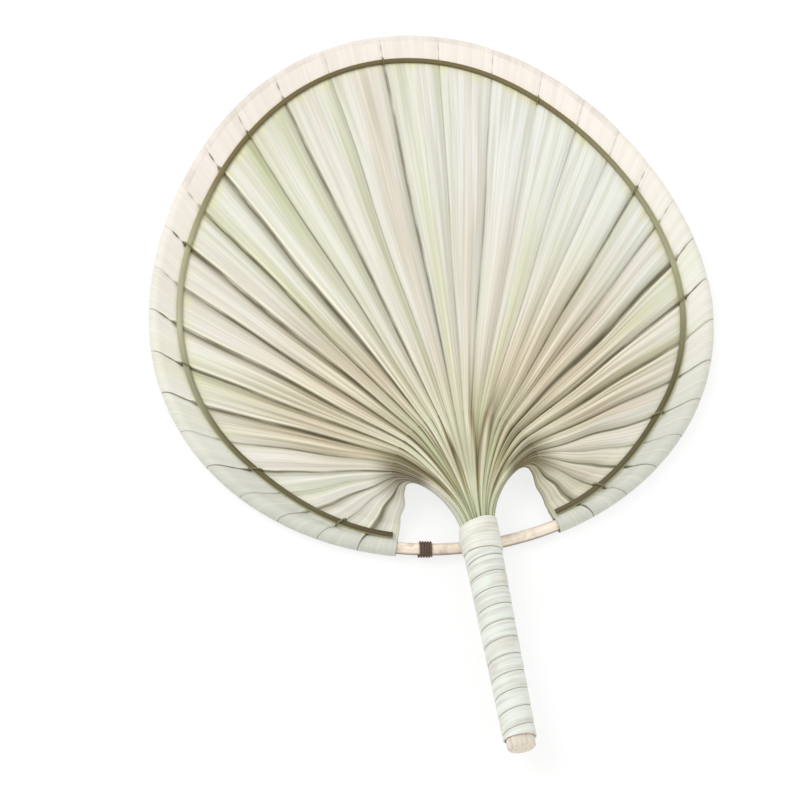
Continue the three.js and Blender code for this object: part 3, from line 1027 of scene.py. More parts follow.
# The leaf's own stalk, dried and sawn: tan, with coarse fibres
DRIED_STALK = RunningFibre(
    "dried_leaf_stalk",
    light="dfd6c8",
    dark="c4b6a4",
    mark="9c8470",
    mark_share=0.5,
    roughness=0.65,
    relief=0.15 * MM,
    sawn="a58a6c",
)
# A narrow strip cut from the leaf and wound damp: pale, with its veins along it
WOUND_STRIP = RunningFibre("wound_leaf_strip", light="dde2d9", dark="c8c7bc", mark="cbb9ac", mark_share=0.5)
# A broad strip from the middle of the leaf, the palest part
BROAD_STRIP = RunningFibre(
    "broad_leaf_strip", light="e4e3d8", dark="cdcdbd", mark="c0b9a5", mark_share=0.5, fibre_length=60 * MM
)
# Twisted plant thread, olive and matt
PLANT_THREAD = RunningFibre(
    "twisted_plant_thread", light="85805a", dark="5d5838", mark="4a452e", roughness=0.85
)
# Waxed cord, dark brown, with a dull shine
WAXED_CORD = RunningFibre("waxed_cord", light="6d5745", dark="45352a", mark="33271e", roughness=0.55)


@dataclass(frozen=True)
class PaperFloor:
    """A white paper sweep under the fan, matt, which keeps the fan's soft shadow."""

    name: str = "white_paper_floor"
    colour: str = "fbfbfa"
    grain: str = "f6f6f4"
    grain_size: float = 40 * MM
    grain_stops: tuple[float, float] = (0.3, 0.7)
    roughness: float = 0.95
    shine: float = 0.1
    whiteness: float = 0.8  # share of plain white that the eye sees, which keeps the shadow pale

    def build(self) -> bpy.types.Material:
        """Makes the material.

        Returns:
            The material.
        """
        material, tree = empty_material(self.name)
        place = add_node(tree, "ShaderNodeTexCoord").outputs["Object"]
        kind = {"Scale": 1 / self.grain_size, "Detail": 3.0}
        cloud = add_node(tree, "ShaderNodeTexNoise", kind, {"Vector": place})
        stops = tuple(zip(self.grain_stops, (self.grain, self.colour), strict=True))
        colour = add_node(tree, "ShaderNodeValToRGB", links={"Fac": cloud.outputs[0]}, stops=stops)
        matt = {"Roughness": self.roughness, "Specular IOR Level": self.shine}
        paper = add_node(tree, "ShaderNodeBsdfPrincipled", matt, {"Base Color": colour.outputs["Color"]})
        white = add_node(tree, "ShaderNodeEmission", {"Color": WHITE, "Strength": 1.0})
        dimmed = {"operation": "MULTIPLY", 1: self.whiteness}
        seen = add_node(tree, "ShaderNodeMath", dimmed, {0: direct_rays(tree)})
        links = {"Fac": seen.outputs[0], 1: paper.outputs["BSDF"], 2: white.outputs["Emission"]}
        mix = add_node(tree, "ShaderNodeMixShader", links=links)
        add_node(tree, "ShaderNodeOutputMaterial", links={"Surface": mix.outputs["Shader"]})
        return material


# The leaf


@dataclass(frozen=True)
class BandStop:
    """A stop of the leaf's way from the ring round the hoop, with its normal's outward and upward parts."""

    inset: float
    height: float
    out: float
    up: float
    from_ring: bool = False


@dataclass
class LeafBlade:
    """The pleated segments, each folded over the hoop to the back."""

    outline: Outline
    slit: float = 0.12 * MM
    base_slit: float = 0.02 * MM
    top_slit: float = 0.14 * MM
    side_slit: float = 0.26 * MM
    base_rise_share: float = 0.2
    mid_rise_share: float = 0.12
    rim_rise_share: float = 0.03
    band_rise: float = 0.12 * MM
    dome_power: float = 1.5
    level_power: int = 8
    crest: float = 0.22 * MM
    crest_share: float = 0.07
    groove: float = 0.25 * MM
    groove_share: float = 0.06
    full_relief_width: float = 12 * MM  # crest and grooves are finer on narrower pleats
    band_relief_share: float = 0.4
    relief_power: int = 6  # how late crest and grooves fade out towards the ring
    underside_share: float = 0.4  # how far round the fold the pleats still rise
    edge_wander: float = 0.35 * MM
    rim_wander: float = 0.22 * MM
    rim_spread: tuple[float, float] = (-0.3, 1.0)
    side_wander: float = 0.9 * MM
    side_spread: tuple[float, float] = (0.3, 1.0)
    sways: float = 1.2
    rise_spread: tuple[float, float] = (0.8, 1.15)
    ring_zone: float = 2.6 * MM
    ring_approach: float = 3 * MM
    ring_rows: int = 4
    band_shares: tuple[float, ...] = (0.3, 0.62, 0.86)
    band_lean: tuple[float, float] = (-0.3, 0.95)
    fold_start: float = math.radians(-24)
    fold_steps: int = 12
    free_stops: int = 40
    slit_start_rows: int = 12  # over which the slits open from the leaf base on
    least_drawn_width: float = 11 * MM  # on narrower pleats the lines shrink with the pleat
    band_line_share: float = 2.0  # lines between ring and hoop are this much finer
    faint_line: tuple[float, float] = (0.15, 0.35)
    strong_line: tuple[float, float] = (0.4, 0.7)
    calm_share: float = 0.4  # of the lines' darkness that is missing right of the middle
    calm_start: tuple[float, float] = (0.03, 0.12)
    calm_end: tuple[float, float] = (0.36, 0.52)
    flank_gain: float = 0.5  # the pleats of the flanks are this much deeper and darker
    flank_shift: float = 0.05
    flank_start: tuple[float, float] = (0.14, 0.42)
    flank_end: tuple[float, float] = (0.60, 0.72)
    flank_loss: float = 0.8
    side_start: tuple[float, float] = (0.3, 0.6)
    side_line_share: float = 0.8
    tick_shares: tuple[float, float] = (0.9, 0.7)  # of the short ticks just beyond the ring
    crest_line_share: float = 0.15
    back_line_share: float = 0.5
    fibre_span: float = 380 * MM  # width of the fibre map from the middle to a lobe's edge
    seed: int = 2993
    columns: tuple[float, ...] = (
        0.0, 0.02, 0.05, 0.10, 0.17, 0.26, 0.35, 0.43, 0.47, 0.5,
        0.53, 0.57, 0.65, 0.74, 0.83, 0.90, 0.95, 0.98, 1.0,
    )
    edge_lift: list[float] = field(init=False)
    rise_share: list[float] = field(init=False)
    tint: list[float] = field(init=False)
    rim_swell: list[float] = field(init=False)
    line_share: list[float] = field(init=False)
    fold_wander: list[tuple[float, float]] = field(init=False)

    def __post_init__(self) -> None:
        """Draws each segment's own tint and wander once."""
        dice = random.Random(self.seed)
        count = self.outline.segments
        self.edge_lift = [dice.uniform(-1, 1) * self.edge_wander for _ in range(count + 1)]
        self.rise_share = []
        for index in range(count):
            deeper = self.flank_gain * self.flank(self.outline.place_at(index + 0.5))
            self.rise_share.append(dice.uniform(*self.rise_spread) + deeper)
        self.tint = [dice.uniform(0, 1) for _ in range(count)]
        self.rim_swell = [dice.uniform(*self.rim_spread) * self.rim_wander for _ in range(count)]
        self.line_share = []
        for boundary in range(count + 1):
            strength = dice.uniform(*(self.strong_line if boundary % 2 else self.faint_line))
            place = self.outline.place_at(boundary)
            calm = self.calm_share * ease(place, *self.calm_start) * (1 - ease(place, *self.calm_end))
            self.line_share.append((strength + self.flank_gain * self.flank(place)) * (1 - calm))
        self.fold_wander = []
        for _ in range(count + 1):
            width = dice.uniform(*self.side_spread) * self.side_wander
            self.fold_wander.append((width, dice.uniform(0, 1)))
        self.edge_lift[0] = self.edge_lift[-1] = 0.0

    def flank(self, place: float) -> float:
        """How much a place belongs to the flanks, where the pleats are deepest, the left ones more so."""
        fading = self.flank_loss * ease(abs(place), *self.flank_end)
        return ease(abs(place - self.flank_shift), *self.flank_start) * (1 - fading)

    def profile(self, t: float) -> tuple[float, float]:
        """The section of a pleat.

        Args:
            t: Place across the segment, from 0 to 1.

        Returns:
            The share of the pleat's full rise there, and the small relief of crest and grooves in metres.
        """
        side = abs(2 * t - 1)
        crest = self.crest * math.exp(-((side / self.crest_share) ** 2))
        groove = self.groove * math.exp(-(((1 - side) / self.groove_share) ** 2))
        return 1 - side**self.dome_power, crest - groove

    def rises(self, widths: np.ndarray, shares: np.ndarray) -> np.ndarray:
        """Height of the pleat.

        Args:
            widths: The segment's width at each row.
            shares: Each row's share of the way from the leaf base to the ring.

        Returns:
            The height at each row.
        """
        middle = self.mid_rise_share * np.interp(0.5, shares, widths)
        stations = [self.base_rise_share * widths[0], middle, self.rim_rise_share * widths[-1]]
        return np.interp(shares, [0.0, 0.5, 1.0], stations)

    def rim_path(self) -> list[BandStop]:
        """The leaf's way from the ring, round the hoop and back under the ring.

        Returns:
            The stops, the back ones a mirror image of the front ones.
        """
        zone, radius, layer = self.ring_zone, self.outline.fold_radius, self.outline.layer_z
        front = [BandStop(inset, layer, 0.0, 1.0, True) for inset in (zone, zone / 3, -zone / 3, -zone)]
        for share in self.band_shares:
            inset = blend(self.outline.ring_inset - zone, -radius * math.sin(self.fold_start), share)
            height = blend(layer, radius * math.cos(self.fold_start), share)
            front.append(BandStop(inset, height, *self.band_lean))
        fold = []
        for step in range(self.fold_steps + 1):
            turn = blend(self.fold_start, math.pi - self.fold_start, step / self.fold_steps)
            out, up = math.sin(turn), math.cos(turn)
            fold.append(BandStop(-radius * out, radius * up, out, up))
        back = [BandStop(s.inset, -s.height, s.out, -s.up, s.from_ring) for s in front[::-1]]
        return front + fold + back

    def segment(self, index: int) -> bpy.types.Object:
        """Builds one segment.

        Args:
            index: Its number from the left lobe, from 0.

        Returns:
            The segment, with its maps.
        """
        outline, free = self.outline, self.free_stops
        folds = [outline.fold(outline.place_at(index + t)) for t in self.columns]
        shares = np.linspace(0.0, 1.0, free)
        path = self.rim_path()
        rows, columns = free + len(path), len(folds)
        points = np.zeros((rows, columns, 3))
        for column, fold in enumerate(folds):
            end = fold.at(fold.ring + self.ring_zone + self.ring_approach)
            for row, share in enumerate(shares):
                point = fold.base.lerp(end, share)
                points[row, column] = (point.x, point.y, self.free_height(share))
            for row, stop in enumerate(path, start=free):
                inset = fold.ring + stop.inset if stop.from_ring else self.fitted(stop.inset, fold)
                swell_out = max(1.0, outline.fold_radius / math.hypot(inset, stop.height))  # out of the hoop
                point = fold.at(inset * swell_out)
                points[row, column] = (point.x, point.y, stop.height * swell_out)
        middle = folds[columns // 2]
        outwards = outline.hoop_normal(math.atan2(middle.rim.x, middle.rim.y - outline.centre_y))
        lifts = np.array([UP] * free + [(outwards * stop.out + UP * stop.up).normalized() for stop in path])
        widths = np.linalg.norm(points[:, -1] - points[:, 0], axis=1)
        band = slice(free + self.ring_rows, rows - self.ring_rows)
        rises, waves, relief, swell = np.zeros((4, rows))
        rises[:free] = self.rises(widths[:free], shares) * self.rise_share[index]
        rises[band] = self.band_rise
        waves[:free] = np.sin(np.pi * shares)
        relief[:free] = np.minimum(1.0, widths[:free] / self.full_relief_width)
        relief[:free] *= 1 - shares**self.relief_power
        relief[band] = self.band_relief_share
        margin = self.ring_rows + len(self.band_shares)
        bulge = np.sin(np.linspace(0, np.pi, self.fold_steps + 1))
        swell[free + margin : rows - margin] = self.rim_swell[index] * bulge
        self.sway(points, index, folds, shares)
        upward = np.clip(self.underside_share + lifts[:, 2], 0.0, 1.0)
        for column, t in enumerate(self.columns):
            share, small = self.profile(t)
            wave = waves * blend(self.edge_lift[index], self.edge_lift[index + 1], t)
            lift = rises * share + relief * small + wave + swell
            points[:, column] += lifts * (lift * upward)[:, None]
        np.maximum(points[:, :, 2], outline.leaf_thickness / 2 - ORIGIN.z, out=points[:, :, 2])
        self.open_slits(points, widths, middle.place)
        along = outline.base_radius + distances(points[:, columns // 2])
        drawn = np.maximum(widths, self.least_drawn_width)[:, None] / MM
        beyond = (along - along[free + 1])[:, None] / MM
        shown = self.line_fade(rows, middle.place)
        maps = self.maps(np.full(columns, index), np.array(self.columns), along, drawn, shown, beyond)
        maps["crease"][free + self.ring_rows :, :, 0] *= self.band_line_share
        piece = lay_sheet(f"pleat_{index + 1:02d}", points, maps)
        thicken(piece, outline.leaf_thickness)
        return piece

    def sway(self, points: np.ndarray, index: int, folds: list[Fold], shares: np.ndarray) -> None:
        """Sways the free folds sideways by a hair, as in a real leaf, the same on both sides of a slit.

        Args:
            points: The segment's points, which are moved.
            index: The segment's number.
            folds: The fold of each column.
            shares: The share of each free row.
        """
        ways = []
        for width, phase in self.fold_wander[index : index + 2]:
            ways.append(width * np.sin(np.pi * shares) * np.sin(2 * np.pi * (self.sways * shares + phase)))
        for column, (t, fold) in enumerate(zip(self.columns, folds, strict=True)):
            aside = np.array([-fold.direction.y, fold.direction.x])
            way = ways[0] * (1 - t) + ways[1] * t
            points[: self.free_stops, column, :2] += way[:, None] * aside[None, :]

    def fitted(self, inset: float, fold: Fold) -> float:
        """Draws the band's insets in where the ring lies nearer the hoop.

        Args:
            inset: An inset for a ring at its top place.
            fold: The fold that it is on.

        Returns:
            The inset there.
        """
        if inset <= 0:
            return inset
        return inset * (fold.ring - self.ring_zone) / (self.outline.ring_inset - self.ring_zone)

    def free_height(self, share: float) -> float:
        """Height of the free pleats' edges.

        Args:
            share: Share of the way from the leaf base to the ring.

        Returns:
            The height, level at the leaf base.
        """
        outline = self.outline
        level = 1 - (1 - share) ** self.level_power
        return blend(outline.leaf_base_z, outline.layer_z + outline.leaf_thickness / 2, share * level)

    def open_slits(self, points: np.ndarray, widths: np.ndarray, place: float) -> None:
        """Draws each row in towards its middle, so that neighbours don't touch.

        Args:
            points: The segment's points, which are moved.
            widths: The segment's width at each row.
            place: The segment's place, from -1 to 1.
        """
        at_rim = blend(self.top_slit, self.side_slit, self.side_share(place))
        turn = slice(self.free_stops - 2, self.free_stops + self.ring_rows)
        slits = np.full(len(points), self.slit)
        slits[: self.slit_start_rows] = np.linspace(self.base_slit, self.slit, self.slit_start_rows)
        slits[turn.stop :] = at_rim
        slits[turn] = np.linspace(self.slit, at_rim, turn.stop - turn.start)
        middle = points[:, len(self.columns) // 2][:, None]
        points[:] = middle + (points - middle) * (1 - slits / widths)[:, None, None]

    def maps(
        self,
        index: np.ndarray,
        t: np.ndarray,
        along: np.ndarray,
        drawn: np.ndarray | float,
        shown: np.ndarray,
        beyond: np.ndarray | float,
    ) -> dict[str, np.ndarray]:
        """The maps that the finish reads.

        Args:
            index: The segment of each column.
            t: The place of each column across its segment.
            along: The distance of each row along the fibres.
            drawn: The pleat's width that the lines are drawn for, in millimetres.
            shown: The share of the lines' darkness at each row.
            beyond: Millimetres beyond the ring at each row.

        Returns:
            The maps by name.
        """
        lines = np.array(self.line_share)[index + (t >= 0.5)]
        fibre, crease, tone, zone = np.zeros((4, len(along), len(t), 2))
        fibre[:, :, 0] = self.outline.place_at(index + t) * self.fibre_span
        fibre[:, :, 1] = along[:, None]
        crease[:, :, 0] = np.minimum(t, 1 - t) * drawn
        crease[:, :, 1] = lines * shown[:, None]
        tone[:, :, 0] = np.abs(t - 0.5) * drawn
        tone[:, :, 1] = np.array(self.tint)[index]
        zone[:, :, 0] = beyond
        zone[:, :, 1] = 1 - 2 * t
        return dict(zip(LEAF_MAPS, (fibre, crease, tone, zone), strict=True))

    def line_fade(self, rows: int, place: float) -> np.ndarray:
        """How much of a fold line shows at each row.

        Args:
            rows: The number of rows.
            place: The segment's place, from -1 to 1.

        Returns:
            The share of the line's darkness at each row: between ring and hoop near the top only a tick.
        """
        fade = np.ones(rows)
        start = self.free_stops + self.ring_rows
        crest = start + len(self.band_shares)
        crest_end = crest + self.fold_steps // 2 + 1
        side = self.side_line_share * self.side_share(place)
        fade[start:] = side
        fade[start + 1 : crest] = [max(side, tick) for tick in self.tick_shares]
        fade[crest:crest_end] *= np.linspace(1.0, self.crest_line_share, crest_end - crest)
        fade[crest_end:] *= self.back_line_share
        return fade

    def side_share(self, place: float) -> float:
        """How much a place belongs to the sides, where the slits cross the whole band."""
        return ease(abs(place), *self.side_start)

    def build(self, material: bpy.types.Material) -> list[bpy.types.Object]:
        """Builds and dresses every segment.

        Args:
            material: The leaf's finish.

        Returns:
            The segments.
        """
        pieces = []
        for index in range(self.outline.segments):
            node = f"leaf_segment_{index + 1:02d}"
            pieces.append(settle(self.segment(index), [node], Slot.LEAF, material, sharp_degrees=60))
        return pieces


@dataclass
class LeafBase:
    """The pleats bundled from the collar out to the segments."""

    outline: Outline
    blade: LeafBlade
    half_width: float = 7.3 * MM
    half_height: float = 5.6 * MM
    rise: float = 19.5 * MM
    turn: float = 8 * MM
    start_y: float = -4.15 * MM
    rows: int = 44
    strand: float = 1.3 * MM
    strand_width: tuple[float, float] = (0.16, 0.34)  # least and greatest, the whole neck being 2 wide
    strand_reach: tuple[float, float] = (0.75, 1.0)
    strand_height: tuple[float, float] = (0.6, 1.0)
    strand_round: float = 0.5  # powers of a strand's section and of its taper
    strand_taper: float = 0.6
    start_ridge_share: float = 0.1  # of the pleats' height that is left at the collar
    line_growth: float = 1.4  # how fast the fold lines darken from the collar on
    line_delay: float = 0.15
    least_line: float = 0.05
    off_ring: float = -99.0  # the zone map's first number, far inside the ring
    seed: int = 21

    def path(self, place: float) -> Callable[[float], Vector]:
        """The way of one fold from the collar to its segment.

        Args:
            place: The fold's place, from -1 to 1.

        Returns:
            A function from a share to a point.
        """
        outline = self.outline
        fold = outline.fold(place)
        start = Vector((place * self.half_width, self.start_y, outline.handle_z))
        end = fold.base.copy()
        end.z = outline.leaf_base_z
        lead = start + Vector((0, self.rise, 0))
        tail = end - fold.direction * self.turn

        def point(share: float) -> Vector:
            """A point of a Bezier curve."""
            back = 1 - share
            return start * back**3 + lead * 3 * back**2 * share + tail * 3 * back * share**2 + end * share**3

        return point

    def build(self, material: bpy.types.Material) -> bpy.types.Object:
        """Builds and dresses the leaf base.

        Args:
            material: The leaf's finish.

        Returns:
            The piece.
        """
        outline, blade = self.outline, self.blade
        segments = outline.segments
        marks = [(index, t) for index in range(segments) for t in blade.columns[:-1]]
        marks.append((segments - 1, blade.columns[-1]))
        places = [outline.place_at(index + t) for index, t in marks]
        shares = np.linspace(0.0, 1.0, self.rows)
        ways = [self.path(place) for place in places]
        middle = np.array([[point(share) for point in ways] for share in shares])
        edges = [self.path(outline.place_at(boundary)) for boundary in range(segments + 1)]
        edge_points = np.array([[point(share) for point in edges] for share in shares])
        widths = np.linalg.norm(np.diff(edge_points, axis=1), axis=2)
        strands = self.strands(np.array(places), shares)
        grown = 1 - (1 - shares) ** 2
        upper, lower = middle.copy(), middle.copy()
        for column, (index, t) in enumerate(marks):
            rise_share, small = blade.profile(t)
            width = widths[:, index]
            rise = blade.base_rise_share * width * blade.rise_share[index]
            relief = np.minimum(1.0, width / blade.full_relief_width) * small
            ridge = (rise * rise_share + relief) * blend(self.start_ridge_share, 1.0, grown)
            bulge = self.half_height * (1 - shares) ** 2 * math.sqrt(max(0.0, 1 - places[column] ** 2))
            half = outline.leaf_thickness / 2 + bulge
            upper[:, column, 2] += half + ridge + strands[:, column]
            lower[:, column, 2] += -half + ridge * grown
        loop = np.concatenate([upper, lower[:, ::-1], upper[:, :1]], axis=1)
        along = distances(middle[:, len(marks) // 2])
        along += outline.base_radius - along[-1]
        order = [*range(len(marks)), *range(len(marks) - 1, -1, -1), 0]  # over the top and back underneath
        index, t = np.array([marks[i] for i in order]).T
        shown = np.clip(shares * self.line_growth - self.line_delay, self.least_line, 1.0)
        drawn = blade.least_drawn_width / MM
        maps = blade.maps(index.astype(int), t, along, drawn, shown, self.off_ring)
        piece = lay_sheet("leaf_base_pleats", loop, maps)
        self.close(piece, len(marks), loop.shape[1])
        return settle(piece, ["leaf_base"], Slot.LEAF_BASE, material, sharp_degrees=60)

    def strands(self, places: np.ndarray, shares: np.ndarray) -> np.ndarray:
        """The broad strands that the pleats are bundled to at the collar, each its own height and length.

        Args:
            places: The place of each column.
            shares: The share of each row.

        Returns:
            The height of the strands, rows x columns.
        """
        dice = random.Random(self.seed)
        heights = np.zeros((len(shares), len(places)))
        edges = [-1.0]
        while edges[-1] < 1.0:
            edges.append(edges[-1] + dice.uniform(*self.strand_width))
        for low, high in zip(edges, edges[1:], strict=False):
            across = np.clip((places - low) * (high - places) * 4 / (high - low) ** 2, 0.0, 1.0)
            reach = dice.uniform(*self.strand_reach)
            along = np.clip((reach - shares) / reach, 0.0, 1.0) ** self.strand_taper
            height = self.strand * dice.uniform(*self.strand_height)
            heights += height * along[:, None] * across[None, :] ** self.strand_round
        return heights

    def close(self, piece: bpy.types.Object, count: int, columns: int) -> None:
        """Merges the seam of the rolled sheet and closes its two ends with strips of faces.

        Args:
            piece: The rolled sheet.
            count: The number of columns of its top.
            columns: The number of all its columns.
        """
        shape = bmesh.new()
        shape.from_mesh(piece.data)
        shape.verts.ensure_lookup_table()
        for start in (0, (self.rows - 1) * columns):
            for column in range(count - 1):
                over = 2 * count - 1 - column
                corners = [start + column, start + column + 1, start + over - 1, start + over]
                shape.faces.new([shape.verts[i] for i in corners])
        layers = {name: shape.loops.layers.uv[name] for name in LEAF_MAPS}
        shape.faces.ensure_lookup_table()
        for face in shape.faces[-2 * (count - 1) :]:
            for corner in face.loops:
                mapped = [other for other in corner.vert.link_loops if other.face is not face]
                source = next(other for other in mapped if other[layers["fibre"]].uv.length > 0)
                for uv in layers.values():
                    corner[uv].uv = source[uv].uv
        bmesh.ops.remove_doubles(shape, verts=shape.verts, dist=SAME_POINT)
        shape.to_mesh(piece.data)
        shape.free()
        with editing(piece):
            bpy.ops.mesh.normals_make_consistent(inside=False)


# Hoop, rings and their thread


@dataclass
class RimHoop:
    """The bent cane, its ends cut on a slant and laid on each other."""

    outline: Outline
    splice: float = math.radians(189.5)
    scarf_half_length: float = 5 * MM
    scarf_gap: float = 0.12 * MM
    least_step: float = 0.2 * MM  # between a slanting end and the loop before it
    end_step: float = 0.3 * MM
    steps: int = 240
    sides: int = 18
    wobble: float = 0.06 * MM
    wobble_waves: tuple[int, int] = (23, 41)  # round the whole hoop

    def build(self) -> bpy.types.Object:
        """Builds and dresses the hoop.

        Returns:
            The hoop.
        """
        outline = self.outline
        loops = []
        tangent = outline.hoop_tangent(self.splice)
        for step in range(self.steps + 1):
            angle = self.splice + 2 * math.pi * step / self.steps
            waves = sum(math.sin(count * angle) for count in self.wobble_waves)
            radius = outline.hoop_radius + self.wobble * waves / 2
            loops.append(outline.hoop_loop(angle, radius, self.sides, start=-math.pi / 2))
        for end, before, way in ((0, 1, -1), (self.steps, self.steps - 1, 1)):
            for near, far in zip(loops[before], loops[end], strict=True):
                slant = far.z / outline.hoop_radius * self.scarf_half_length
                far += tangent * (slant - way * self.scarf_gap / 2)
                room = (far - near).dot(tangent)
                if room * way < self.least_step:
                    near += room * tangent
                    near -= tangent * self.end_step * way
        return settle(pull_along("cane_hoop", loops), ["rim_hoop"], Slot.HOOP, PEELED_CANE.build())


@dataclass
class SplintRings:
    """The two thin splints that clamp the leaf, one on each face."""

    outline: Outline
    width: float = 2.8 * MM
    thickness: float = 1.2 * MM
    end_margin: float = 2.5 * MM
    steps: int = 200
    # Half of the section, flat below and rounded on its back, in shares of half width and thickness
    half_section_shares: tuple[tuple[float, float], ...] = (
        (0.94, 0.0),
        (1.0, 0.14),
        (1.0, 0.45),
        (0.8, 0.78),
        (0.42, 0.96),
    )

    @property
    def bed(self) -> float:
        """Height of the ring's flat face."""
        outline = self.outline
        return outline.layer_z + outline.leaf_thickness / 2 + outline.clearance

    def ring(self, name: str, face: int) -> bpy.types.Object:
        """Builds one ring.

        Args:
            name: The piece's name.
            face: 1 for the front, -1 for the back.

        Returns:
            The ring.
        """
        outline = self.outline
        half = [(self.width / 2 * x, self.thickness * z) for x, z in self.half_section_shares]
        section = [*half, (0.0, self.thickness), *((-x, z) for x, z in half[::-1])]
        limit = outline.lobe_end - self.end_margin / outline.half_length
        loops = []
        for step in range(self.steps + 1):
            angle = blend(-limit, limit, step / self.steps)
            normal = outline.hoop_normal(angle)
            middle = outline.hoop_point(angle) - normal * outline.ring_inset_at(angle)
            loops.append([middle + normal * out + UP * (face * (self.bed + z)) for out, z in section])
        return pull_along(name, loops)

    def build(self) -> list[bpy.types.Object]:
        """Builds and dresses both rings.

        Returns:
            The front ring and the back ring.
        """
        material = SPLIT_CANE.build()
        return [
            settle(self.ring("front_splint", 1), ["front_ring"], Slot.RING, material),
            settle(self.ring("back_splint", -1), ["back_ring"], Slot.RING, material),
        ]


@dataclass
class RingStitches:
    """Loops of thread that tie the two rings together through the leaf."""

    outline: Outline
    rings: SplintRings
    diameter: float = 0.7 * MM
    clearance: float = 0.42 * MM
    squareness: float = 0.62  # power of the loop's superellipse
    every: int = 3
    first: int = 2
    steps: int = 28
    sides: int = 8

    def loop(self) -> bpy.types.Object:
        """Models the loop once.

        Returns:
            The loop, across +X as for a fold square to the ring.
        """
        radius = self.diameter / 2
        half_width = self.rings.width / 2 + self.clearance + radius
        half_height = self.rings.bed + self.rings.thickness + self.clearance + radius
        loops = []
        for step in range(self.steps):
            turn = 2 * math.pi * step / self.steps
            across, rise = math.cos(turn), math.sin(turn)
            x, z = (math.copysign(abs(way) ** self.squareness, way) for way in (across, rise))
            away = Vector((across / half_width, 0.0, rise / half_height)).normalized()
            centre = Vector((half_width * x, 0.0, half_height * z))
            loops.append(rounded_loop(centre, away, Vector((0.0, 1.0, 0.0)), radius, self.sides))
        return pull_along("ring_thread", loops, closed=True)

    def build(self) -> list[bpy.types.Object]:
        """Copies the loop to every stitched slit and dresses the copies.

        Returns:
            The stitches.
        """
        material = PLANT_THREAD.build()
        pattern = self.loop()
        count = self.outline.segments
        pieces = []
        for number, boundary in enumerate(range(self.first, count, self.every), start=1):
            fold = self.outline.fold(self.outline.place_at(boundary))
            select_only(pattern)
            bpy.ops.object.duplicate(linked=False)
            copy = adopt(f"ring_thread_{number:02d}")
            turn = math.atan2(fold.direction.y, fold.direction.x)
            stretch = Matrix.Diagonal((1 / fold.slant, 1.0, 1.0, 1.0))
            place = Matrix.Translation(fold.at(fold.ring)) @ Matrix.Rotation(turn, 4, "Z")
            copy.data.transform(place @ stretch)
            pieces.append(settle(copy, [f"ring_stitch_{number:02d}"], Slot.THREAD, material))
        bpy.data.objects.remove(pattern)
        return pieces


# Handle


